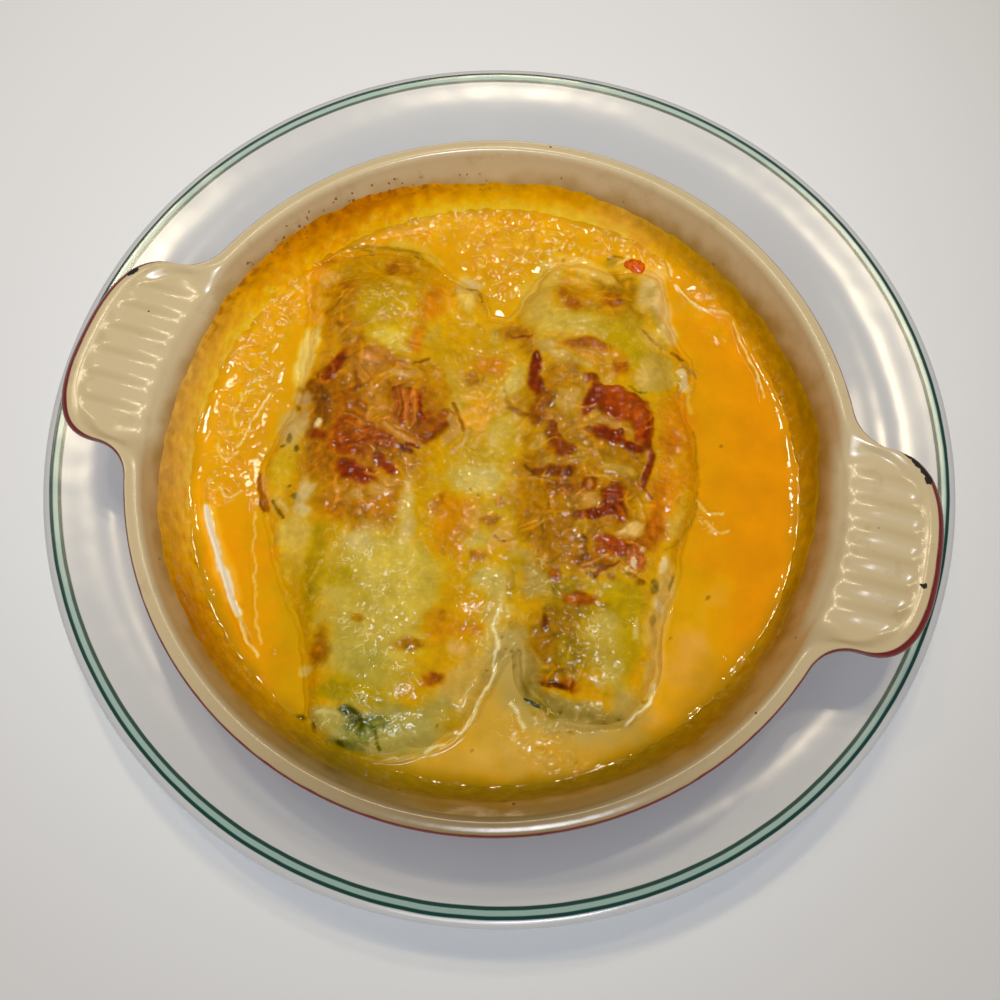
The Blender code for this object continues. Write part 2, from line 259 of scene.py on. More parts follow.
# Glazed porcelain: a cool grey white under a hard clear glaze, with a faint waviness that breaks
# up reflections. The bands are under the glaze, so they shine as the white does.
BAND_OUTER = PLATE_RADIUS - 2.8 * mm
BAND_INNER = PLATE_RADIUS - 5.0 * mm
LINE_WIDTH = 0.95 * mm
glazed_porcelain, tree, output = new_material("glazed white porcelain, banded green")
place = add_node(tree, "TexCoord").outputs["Object"]
flat_place = add_node(tree, "VectorMath", {0: place, 1: (1.0, 1.0, 0.0)}, operation="MULTIPLY")
radius = add_node(tree, "VectorMath", {0: flat_place.outputs["Vector"]}, operation="LENGTH")
brush = add_node(tree, "TexNoise", {"Vector": place, "Scale": 1000 / 9, "Detail": 3.0})
shake = add_node(tree, "MapRange", {"Value": brush.outputs["Fac"], "To Min": -0.12 * mm,
                                    "To Max": 0.12 * mm})
banded = add_node(tree, "Math", {0: radius.outputs["Value"], 1: shake.outputs["Result"]},
                  operation="ADD").outputs["Value"]


def band_mask(tree, at, centre, width, softness=0.12 * mm):
    """One where a radius lies within half a width of the centre, with soft sides."""
    off = add_node(tree, "Math", {0: at, 1: centre}, operation="SUBTRACT")
    off = add_node(tree, "Math", {0: off.outputs["Value"]}, operation="ABSOLUTE")
    return add_node(tree, "MapRange", {"Value": off.outputs["Value"], "From Min": 0.5 * width + softness,
                                       "From Max": 0.5 * width - softness}).outputs["Result"]


def mixed(tree, share, first, second):
    """Colour between first and second by a share; each may be a colour or another node's output."""
    node = tree.nodes.new("ShaderNodeMix")
    node.data_type = "RGBA"
    for socket, value in ((node.inputs[0], share), (node.inputs[6], first), (node.inputs[7], second)):
        if isinstance(value, bpy.types.NodeSocket):
            tree.links.new(value, socket)
        else:
            socket.default_value = value
    return node.outputs[2]


clouding = add_node(tree, "TexNoise", {"Vector": place, "Scale": 1000 / 45, "Detail": 2.0})
white = mixed(tree, clouding.outputs["Fac"], colour("#d2d2d0"), colour("#dcdbd7"))
mint = band_mask(tree, banded, 0.5 * (BAND_OUTER + BAND_INNER), BAND_OUTER - BAND_INNER)
dark_lines = [band_mask(tree, banded, line, LINE_WIDTH) for line in (BAND_OUTER, BAND_INNER)]
lines = add_node(tree, "Math", {0: dark_lines[0], 1: dark_lines[1]}, operation="MAXIMUM")
paint = mixed(tree, mint, white, colour("#a3c2b6"))
paint = mixed(tree, lines.outputs["Value"], paint, colour("#12443c"))
ripple = add_node(tree, "TexNoise", {"Vector": place, "Scale": 1000 / 14, "Detail": 1.0})
bump = add_node(tree, "Bump", {"Height": ripple.outputs["Fac"], "Strength": 0.25, "Distance": 0.4 * mm})
shader = add_node(tree, "BsdfPrincipled", {"Base Color": paint, "Roughness": 0.16, "IOR": 1.5,
                                           "Normal": bump.outputs["Normal"]})
tree.links.new(shader.outputs["BSDF"], output.inputs["Surface"])
plate.data.materials.append(glazed_porcelain)
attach(plate, "root")
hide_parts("plate")


# ---------------------------------------------------------------- gratin dish
# An enamelled cast-iron gratin dish: one casting whose rim flows out into two ribbed ears.
# Cream enamel covers the inside, the lip and the tops of the ears, dark red enamel the outside.

DISH_RADIUS = 97.3 * mm
EAR_TIP = 0.5 * (dish_high.x - dish_low.x)
EAR_HALF_WIDTH = 27.8 * mm
EAR_ROUNDING = 2.5
EAR_FILLET = 12 * mm
RIB_PITCH = 7.3 * mm
RIB_HEIGHT = 1.1 * mm
RIBS_PER_EAR = 6
SAUCE_LEVEL = 25.2 * mm
LIP = dish_high.z - dish_base
ROUND_STEPS = 720


def smooth_step(low, high, value):
    """Zero below low, one above high, and an S curve between them."""
    t = np.clip((value - low) / (high - low), 0.0, 1.0)
    return t * t * (3.0 - 2.0 * t)


def vertex_array(item):
    """Every vertex of a piece as one array of points."""
    data = np.empty(len(item.data.vertices) * 3)
    item.data.vertices.foreach_get("co", data)
    return data.reshape(-1, 3)


def set_vertices(item, points):
    item.data.vertices.foreach_set("co", np.ascontiguousarray(points, np.float32).ravel())
    item.data.update()


def vertex_value(item, name, values):
    """Store a number on every vertex, for materials to read by name."""
    layer = item.data.attributes.get(name) or item.data.attributes.new(name, "FLOAT", "POINT")
    layer.data.foreach_set("value", np.ascontiguousarray(values, np.float32))


def wander(x, y, size, seed):
    """Smooth random height, about -1 to 1, at every point; size is the distance between its lumps."""
    table = np.random.default_rng(seed).uniform(0.0, 2.0 * math.pi, (128, 128))
    u, v = x / size + 500.0, y / size + 500.0
    i, j = np.floor(u).astype(int), np.floor(v).astype(int)
    u, v = u - i, v - j
    total = 0.0
    for di in (0, 1):
        for dj in (0, 1):
            angle = table[(i + di) % 128, (j + dj) % 128]
            slope = np.cos(angle) * (u - di) + np.sin(angle) * (v - dj)
            fall_u = 1.0 - smooth_step(0.0, 1.0, np.abs(u - di))
            fall_v = 1.0 - smooth_step(0.0, 1.0, np.abs(v - dj))
            total = total + slope * fall_u * fall_v
    return total * 1.5


def lumps(x, y, size, seed, layers=3):
    """Layered wander: each layer half the size and half the height of the one before."""
    return sum(wander(x, y, size / 2 ** k, seed + k) / 2 ** k for k in range(layers))


def rim_point(angle):
    """Outline of the rim with its ears at base angles: rounded ear end, concave fillet, rim's arc."""
    fillet_y = EAR_HALF_WIDTH + EAR_FILLET
    fillet_x = math.sqrt((DISH_RADIUS + EAR_FILLET) ** 2 - fillet_y ** 2)
    join = math.atan2(fillet_y, fillet_x)
    t = 0.5 * math.pi * np.linspace(0.0, 1.0, 200)[:-1]
    end_x = fillet_x + (EAR_TIP - fillet_x) * np.cos(t) ** (2.0 / EAR_ROUNDING)
    end_y = EAR_HALF_WIDTH * np.sin(t) ** (2.0 / EAR_ROUNDING)
    s = -0.5 * math.pi - (0.5 * math.pi - join) * np.linspace(0.0, 1.0, 60)
    path_x = np.append(end_x, fillet_x + EAR_FILLET * np.cos(s))
    path_y = np.append(end_y, fillet_y + EAR_FILLET * np.sin(s))
    length = np.append(0.0, np.cumsum(np.hypot(np.diff(path_x), np.diff(path_y))))
    folded = np.arcsin(np.clip(np.abs(np.sin(angle)), 0.0, 1.0))
    along = np.minimum(folded / join, 1.0) * length[-1]
    on_ear = folded < join
    x = np.where(on_ear, np.interp(along, length, path_x), DISH_RADIUS * np.cos(folded))
    y = np.where(on_ear, np.interp(along, length, path_y), DISH_RADIUS * np.sin(folded))
    return x * np.sign(np.cos(angle)), y * np.sign(np.sin(angle))


# Each stretch of the profile is a list of (radius, height, reach); reach is how far a ring follows
# the ears: 0 is a plain circle and 1 the whole outline.
outer_wall = [(0.0, 0.4 * mm, 0), (62 * mm, 0.4 * mm, 0), (65 * mm, 0.0, 0), (68 * mm, 0.0, 0),
              (71.5 * mm, 0.5 * mm, 0), (76.5 * mm, 2.2 * mm, 0), (84 * mm, 8 * mm, 0),
              (88.4 * mm, 15 * mm, 0), (91.6 * mm, 25.2 * mm, 0), (94.6 * mm, 35.5 * mm, 0.0)]
under_ear = [(95.0 * mm, 37.5 * mm, 0.02), (95.4 * mm, 39.2 * mm, 0.25), (95.8 * mm, 40.3 * mm, 0.55),
             (96.3 * mm, 41.2 * mm, 0.85), (96.8 * mm, 42.0 * mm, 0.96)]
lip_round = [(96.8 * mm, 42.0 * mm, 0.96), (97.3 * mm, 43.1 * mm, 1.0), (97.1 * mm, 44.2 * mm, 0.992),
             (96.4 * mm, 44.9 * mm, 0.968)]
inner_wall = [(92.4 * mm, 42.6 * mm, 0.0), (91.5 * mm, 39.5 * mm, 0), (90.3 * mm, 35 * mm, 0),
              (88.9 * mm, 30 * mm, 0), (87.4 * mm, 25.2 * mm, 0), (84.2 * mm, 14.5 * mm, 0),
              (80.2 * mm, 8 * mm, 0), (73.7 * mm, 4.9 * mm, 0), (66 * mm, 4.3 * mm, 0),
              (30 * mm, 4.3 * mm, 0), (0.0, 4.3 * mm, 0)]
TOP_RINGS = 30
top_share = np.linspace(1.0, 0.0, TOP_RINGS + 1)
LIP_CREST = 0.55
top_face = []
for share in top_share:
    crown = 1.0 - np.clip(abs(share - LIP_CREST) / (1.0 - LIP_CREST if share > LIP_CREST else LIP_CREST),
                          0, 1) ** 2.4
    top_face.append(((92.4 + 4.0 * share) * mm,
                     (42.6 + (44.9 - 42.6) * share ** 0.5) * (1 - crown) * mm + crown * LIP,
                     share ** 0.9 * 0.968))
outside_rows = smooth_curve(outer_wall, 2.4 * mm, 5) + smooth_curve(under_ear, 0.4 * mm)[1:]
rounding_rows = smooth_curve(lip_round, 0.14 * mm)[1:]
profile = outside_rows + rounding_rows + top_face[1:] + smooth_curve(inner_wall, 1.0 * mm, 4)[1:]
OUTSIDE_ROWS = len(outside_rows)
profile = profile[::-1]
# The dish is turned as a plain bowl first; its rim is then drawn out into the ears.
bowl = turned("gratin_dish_cast", [(r, h) for r, h, _ in profile], steps=ROUND_STEPS)
points = vertex_array(bowl)
bowl_radius = np.hypot(points[:, 0], points[:, 1])
order = np.array([(r, h) for r, h, _ in profile])
nearest = np.zeros(len(points), int)
for start in range(0, len(points), 4000):
    part = slice(start, start + 4000)
    gap = (bowl_radius[part, None] - order[:, 0]) ** 2 + (points[part, None, 2] - order[:, 1]) ** 2
    nearest[part] = gap.argmin(axis=1)
reach = np.array([row[2] for row in profile])[nearest]
ring_from_outside = len(profile) - 1 - nearest
angle = np.arctan2(points[:, 1], points[:, 0])
rim_x, rim_y = rim_point(angle)
ear_x, ear_y = rim_x - DISH_RADIUS * np.cos(angle), rim_y - DISH_RADIUS * np.sin(angle)
ear_length = np.hypot(ear_x, ear_y)
fullness = smooth_step(0.0, 14 * mm, ear_length)
x = points[:, 0] + ear_x * reach
y = points[:, 1] + ear_y * reach
z = points[:, 2].copy()

# On the ears the wall rolls over softly into a thumb rest: ribbed, with a raised smooth border.
out = np.maximum(np.hypot(x, y), 1e-6)
inset = np.hypot(rim_x - x, rim_y - y)
is_inner = ring_from_outside >= OUTSIDE_ROWS
is_ear_top = is_inner & (reach > 0.0) & (bowl_radius < 97.0 * mm)
EAR_INNER_EDGE = 41.6 * mm
border = 1.0 - smooth_step(2.5 * mm, 7.0 * mm, inset)
rest_height = EAR_INNER_EDGE + 1.4 * mm * smooth_step(91 * mm, 103 * mm, out) + 1.5 * mm * border
edge_round = 1.0 - np.sqrt(np.clip(1.0 - np.clip(1.0 - inset / (1.7 * mm), 0, 1) ** 2, 0, 1))
rest_height -= 0.9 * mm * edge_round
rib_zone = smooth_step(4.4 * mm, 6.6 * mm, inset) * smooth_step(90.0 * mm, 108.0 * mm, np.abs(x)) ** 0.7
rib_wave = 0.5 + 0.5 * np.cos(2.0 * math.pi * (y / RIB_PITCH - 0.5))
outside_ribs = 1.0 - smooth_step(0.5 * RIBS_PER_EAR * RIB_PITCH - 0.3 * mm,
                                 0.5 * RIBS_PER_EAR * RIB_PITCH + 0.3 * mm, np.abs(y))
rest_height += RIB_HEIGHT * (rib_wave ** 1.1 * outside_ribs - 0.3) * rib_zone
z = np.where(is_ear_top, z * (1 - fullness) + rest_height * fullness, z)
upper_wall = is_inner & (reach == 0.0) & (z > 38 * mm)
lowered = 38 * mm + (z - 38 * mm) * (EAR_INNER_EDGE - 38 * mm) / (42.6 * mm - 38 * mm)
z = np.where(upper_wall, z * (1 - fullness) + lowered * fullness, z)
from_corner = np.where(is_ear_top, out - 92.2 * mm, EAR_INNER_EDGE - z)
corner = np.where(is_inner, np.clip(1.0 - from_corner / (4.4 * mm), 0, 1) ** 2, 0.0) * fullness
x += 1.0 * mm * corner * x / out
y += 1.0 * mm * corner * y / out
z -= 0.9 * mm * corner

# Castings and enamel are never quite even.
z += 0.12 * mm * wander(x, y, 30 * mm, 3) * smooth_step(30 * mm, 40 * mm, z)
points = np.stack([dish_x + x, dish_y + y, dish_base + z], axis=1)
set_vertices(bowl, points)

on_rounding = ring_from_outside < OUTSIDE_ROWS + len(rounding_rows)
red_height = order[nearest, 1] + 0.1 * mm * wander(angle * 97 * mm, 0 * angle, 4 * mm, 8)
red_side = smooth_step(44.80 * mm, 44.64 * mm, red_height) * on_rounding
vertex_value(bowl, "red_side", red_side)

# The near side of the upper wall and lip is painted darker: painted shade, as if that side stood in shadow.
degrees = np.degrees(angle) % 360.0
near_side_shade = np.exp(-((degrees - 284.0) / 40.0) ** 2) * smooth_step(34 * mm, 38 * mm, z)
vertex_value(bowl, "near_side_shade", near_side_shade)

# Chips knocked out of the enamel show black iron: (x, y, half length, half width, turn).
CHIPS = [
    (-112.4, 21.8, 1.9, 1.1, 58), (106.2, 27.0, 1.5, 0.8, -35), (108.3, 25.7, 1.6, 1.0, -45),
    (110.6, 23.6, 1.5, 0.9, -45), (112.2, 21.8, 1.5, 1.2, -60), (115.0, 19.0, 0.7, 0.5, -60),
    (114.6, -7.0, 1.0, 0.8, -40), (-103.6, 11.7, 0.45, 0.45, 0), (36.8, -90.0, 0.6, 0.4, 0),
]
chip = np.full(len(points), -3.0)
for chip_x, chip_y, long, wide, turn in CHIPS:
    c, s = math.cos(math.radians(turn)), math.sin(math.radians(turn))
    dx, dy = x / mm - chip_x, y / mm - chip_y
    away = np.hypot((dx * c + dy * s) / long, (-dx * s + dy * c) / wide)
    chip = np.where(z > 40 * mm, np.maximum(chip, 1.0 - away), chip)
vertex_value(bowl, "chip", chip)

# Vitreous enamel: cream glass fused on iron, glossy, a little wavy, with pin-head specks and warm
# grease stains. Bare iron in the chips is dull and nearly black.
vitreous_enamel, tree, output = new_material("vitreous enamel, cream inside and red outside")
place = add_node(tree, "TexCoord").outputs["Object"]
tone = add_node(tree, "TexNoise", {"Vector": place, "Scale": 1000 / 30, "Detail": 3.0})
cream = mixed(tree, tone.outputs["Fac"], colour("#d6be8e"), colour("#e2cca0"))
stain = add_node(tree, "TexNoise", {"Vector": place, "Scale": 1000 / 9, "Detail": 6.0,
                                    "Roughness": 0.65})
stained = add_node(tree, "MapRange", {"Value": stain.outputs["Fac"], "From Min": 0.56, "From Max": 0.74,
                                      "To Max": 0.35})
cream = mixed(tree, stained.outputs["Result"], cream, colour("#a98b54"))
specks = add_node(tree, "TexVoronoi", {"Vector": place, "Scale": 1000 / 7.5, "Randomness": 1.0})
speck_size = add_node(tree, "MapRange", {"Value": specks.outputs["Distance"], "From Min": 0.055,
                                         "From Max": 0.035})
speck_pick = add_node(tree, "SeparateColor", {"Color": specks.outputs["Color"]})
speck_few = add_node(tree, "Math", {0: speck_pick.outputs["Red"], 1: 0.72}, operation="GREATER_THAN")
speck = add_node(tree, "Math", {0: speck_size.outputs["Result"], 1: speck_few.outputs["Value"]},
                 operation="MULTIPLY")
cream = mixed(tree, speck.outputs["Value"], cream, colour("#5f4526"))
# The near side is mixed darker: painted shade.
near_shade_share = add_node(tree, "Attribute", attribute_name="near_side_shade").outputs["Fac"]
cream = mixed(tree, near_shade_share, cream, colour("#9c855c"))
grease_share = add_node(tree, "Attribute", attribute_name="grease").outputs["Fac"]
cream = mixed(tree, grease_share, cream, colour("#a07812"))
red_mask = add_node(tree, "Attribute", attribute_name="red_side").outputs["Fac"]
enamel = mixed(tree, red_mask, cream, colour("#7c2422"))
chip_depth = add_node(tree, "Attribute", attribute_name="chip").outputs["Fac"]
broken = add_node(tree, "TexNoise", {"Vector": place, "Scale": 1000 / 1.2, "Detail": 2.0})
chip_edge = add_node(tree, "MapRange", {"Value": broken.outputs["Fac"], "To Min": -0.5, "To Max": 0.5})
chip_at = add_node(tree, "Math", {0: chip_depth, 1: chip_edge.outputs["Result"]}, operation="ADD")
chip_mask = add_node(tree, "MapRange", {"Value": chip_at.outputs["Value"], "From Min": -0.06,
                                        "From Max": 0.06}).outputs["Result"]
enamel = mixed(tree, chip_mask, enamel, colour("#1c1512"))
chip_rough = add_node(tree, "MapRange", {"Value": chip_mask, "To Min": 0.2, "To Max": 0.75})
wave = add_node(tree, "TexNoise", {"Vector": place, "Scale": 1000 / 5, "Detail": 2.0})
iron = add_node(tree, "TexNoise", {"Vector": place, "Scale": 1000 / 0.6, "Detail": 2.0})
relief = add_node(tree, "Mix", {0: chip_mask, 2: wave.outputs["Fac"], 3: iron.outputs["Fac"]},
                  data_type="FLOAT")
bump = add_node(tree, "Bump", {"Height": relief.outputs[0], "Strength": 0.3, "Distance": 0.25 * mm})
shader = add_node(tree, "BsdfPrincipled", {"Base Color": enamel, "Roughness": chip_rough.outputs["Result"],
                                           "IOR": 1.52, "Normal": bump.outputs["Normal"]})
tree.links.new(shader.outputs["BSDF"], output.inputs["Surface"])
bowl.data.materials.append(vitreous_enamel)
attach(bowl, "root")
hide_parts("gratin_dish")


# ---------------------------------------------------------------- cream and tomato sauce
# Thin tomato and cream sauce poured over before baking. It has gone oily and orange, froths in
# places, clings to the wall in a raised edge, and thickens to pale cream round the rolls.

WALL_AT_SAUCE = 87.4 * mm
FLOOR_AT = 4.3 * mm
ROLL_HEIGHT = 30.2 * mm
ROLL_SQUARENESS = 2.0 / 0.82
BRIDGE_HEIGHT = 30.5 * mm

# Each roll as it lies, from the dish's axis: middle, direction of its far end, length, width, and
# the side and place where its flank sags outwards.
ROLLS = {
    "left": {"centre": (-27.8 * mm, -13.8 * mm), "turn": math.radians(107.5), "length": 145 * mm,
             "width": 45.5 * mm, "side": 1.0, "belly": 7.5 * mm, "belly_at": 0.0},
    "right": {"centre": (26.5 * mm, 2.2 * mm), "turn": math.radians(104.0), "length": 134 * mm,
              "width": 45.5 * mm, "side": -1.0, "belly": 5.0 * mm, "belly_at": 0.2},
}

# Where the food rises out of the sauce, in millimetres from the dish's axis.
OUTLINE = [
    (-70, 50), (-65, 54.5), (-53, 59.5), (-39.5, 62), (-28.5, 56), (-19, 53), (-14, 47), (-8.5, 47),
    (-7, 53.5), (-5, 62), (-2.5, 67), (2, 70), (9, 71.5), (15.5, 71), (21, 73.5), (28.5, 75), (33, 74),
    (35.5, 67.5), (39, 58.5), (43.5, 52), (48.5, 47), (50, 43), (48, 36.5), (50, 30), (54.5, 21),
    (57, 12.5), (58.5, 6), (58, -2), (57, -10), (58, -18), (56, -30), (56.5, -36), (58, -45.5),
    (56.5, -52), (53.5, -58), (49.5, -61), (42, -63.5), (34.5, -64), (27.5, -60), (23, -55.5),
    (20.5, -48), (16.5, -57.5), (15, -66), (13, -73), (8.5, -76.5), (4, -80), (-2, -83), (-8.5, -86),
    (-16, -86), (-21, -85.5), (-29, -81), (-31, -74.5), (-32.5, -69.5), (-35, -65), (-38, -59),
    (-41.5, -55), (-46, -50), (-52, -42.5), (-56.5, -34.5), (-59, -29.5), (-63, -22), (-63.5, -18),
    (-63.5, -10.5), (-62, -3.5), (-61, 2), (-66.5, 27.5), (-71, 39), (-73, 45.5),
]

# How high the cream stands round the food: (x, y, half length, half width, turn, strength).
THICK_CREAM = [
    (-12, -78, 20, 9, 10, 1.0), (38, -60, 20, 8, 5, 0.75), (14, -56, 7, 16, 10, 0.8),
    (-22, 48, 6, 6, 0, 0.9), (33, 60, 6, 14, 20, 0.7), (-59, 15, 4, 14, 8, 0.5), (54, -28, 5, 14, 5, 0.6),
    (8, 66, 14, 5, 0, 0.6), (-52, -35, 7, 14, -35, 0.4), (52, 8, 8, 24, 4, 1.0), (-58, -8, 6, 14, 0, 0.7),
    (-60, 42, 10, 12, 0, 0.6),
]


def on_roll(roll, x, y):
    """Place along a roll, from -1 to 1, and across it, in metres."""
    dx, dy = x - roll["centre"][0], y - roll["centre"][1]
    c, s = math.cos(roll["turn"]), math.sin(roll["turn"])
    return (dx * c + dy * s) / (0.5 * roll["length"]), -dx * s + dy * c


def roll_section(roll, along, across):
    """Half width, on the side that across is on, and height of a roll at a place along it."""
    taper = (1.0 - np.minimum(np.abs(along), 1.0) ** 5) ** 0.4 * 0.34 + 0.66
    sag = roll["belly"] * np.exp(-((along - roll["belly_at"]) / 0.42) ** 2)
    half = 0.5 * roll["width"] * taper + np.where(across * roll["side"] > 0.0, sag, 0.0)
    sunk = 1.0 - 0.22 * smooth_step(0.80, 1.02, np.abs(along))
    return half, ROLL_HEIGHT * (0.35 + 0.65 * taper) * sunk


def roll_top(roll, x, y):
    """Height of a roll's upper side above the dish's base; low away from the roll."""
    along, across = on_roll(roll, x, y)
    half, height = roll_section(roll, along, across)
    round_off = np.clip(1.0 - (np.abs(across) / half) ** ROLL_SQUARENESS, 0.0, 1.0)
    top = 0.5 * height * (1.0 + round_off ** (1.0 / ROLL_SQUARENESS))
    beyond = np.clip(np.abs(along) - 1.0, 0.0, None) * 0.5 * roll["length"]
    return FLOOR_AT + top - 3.0 * beyond


def soft_larger(a, b, softness):
    """The larger of two heights, blended over a softness."""
    share = np.clip(softness - np.abs(a - b), 0.0, None) / softness
    return np.maximum(a, b) + share * share * softness * 0.25


def food_skin(x, y, inside):
    """Height that the sauce and the cheese cling to: the rolls, and the thick cream round them."""
    return soft_larger(food_base(x, y), cream_height(x, y, inside), 2.0 * mm)


def read_place(x, y, height):
    """Where a point is read on the plan below, which is drawn 33 mm above the base from one side."""
    shrink = (READ_FROM[2] - READ_HEIGHT) / (READ_FROM[2] - height)
    return READ_FROM[0] + (x - READ_FROM[0]) * shrink, READ_FROM[1] + (y - READ_FROM[1]) * shrink


def patch_share(x, y, patch, soft=0.4, ragged=0.0):
    """Share, from 0 to 1, of one soft patch (x, y, half length, half width, turn, strength)."""
    at_x, at_y, long, wide, turn, strength = patch
    c, s = math.cos(math.radians(turn)), math.sin(math.radians(turn))
    dx, dy = x - at_x * mm, y - at_y * mm
    away = np.hypot((dx * c + dy * s) / (long * mm), (-dx * s + dy * c) / (wide * mm))
    return strength * smooth_step(1.0 + soft, 1.0 - soft, away + ragged)


def patches(x, y, rows, soft=0.4, ragged=0.0):
    """Largest share of any of several patches."""
    total = np.zeros_like(x)
    for row in rows:
        total = np.maximum(total, patch_share(x, y, row, soft, ragged))
    return total


def inside_outline(x, y):
    """Distance inside the food's outline; negative outside it."""
    corners = np.array(OUTLINE) * mm
    gap = np.full_like(x, 1.0)
    odd = np.zeros(x.shape, bool)
    for (ax, ay), (bx, by) in zip(corners, np.roll(corners, -1, axis=0)):
        t = np.clip(((x - ax) * (bx - ax) + (y - ay) * (by - ay)) / ((bx - ax) ** 2 + (by - ay) ** 2), 0, 1)
        gap = np.minimum(gap, np.hypot(x - ax - t * (bx - ax), y - ay - t * (by - ay)))
        crosses = (ay > y) != (by > y)
        with np.errstate(divide="ignore", invalid="ignore"):
            odd ^= crosses & (x < (bx - ax) * (y - ay) / (by - ay) + ax)
    return np.where(odd, gap, -gap)


def cream_height(x, y, inside):
    """Sauce that has thickened and stands up round the food, above the dish's base."""
    stands = (1.5 + 4.0 * patches(x, y, THICK_CREAM, 0.6)) * mm
    return SAUCE_LEVEL + 0.5 * mm + stands * (1.0 - np.exp(-np.clip(inside, 0.0, None) / (3.2 * mm)))


def food_base(x, y):
    """Height that the cheese lies on: both rolls and the thick sauce that bridges them."""
    left, right = ROLLS["left"], ROLLS["right"]
    turn = 0.5 * (left["turn"] + right["turn"])
    mid_x = 0.5 * (left["centre"][0] + right["centre"][0])
    mid_y = 0.5 * (left["centre"][1] + right["centre"][1])
    along = ((x - mid_x) * math.cos(turn) + (y - mid_y) * math.sin(turn)) / (58 * mm)
    across = (-(x - mid_x) * math.sin(turn) + (y - mid_y) * math.cos(turn)) / (32 * mm)
    bridge = BRIDGE_HEIGHT - (BRIDGE_HEIGHT - SAUCE_LEVEL) * (np.abs(along) ** 4 + np.abs(across) ** 4)
    rolls = np.maximum(roll_top(left, x, y), roll_top(right, x, y))
    return soft_larger(rolls, np.maximum(bridge, SAUCE_LEVEL - 12 * mm), 4 * mm)


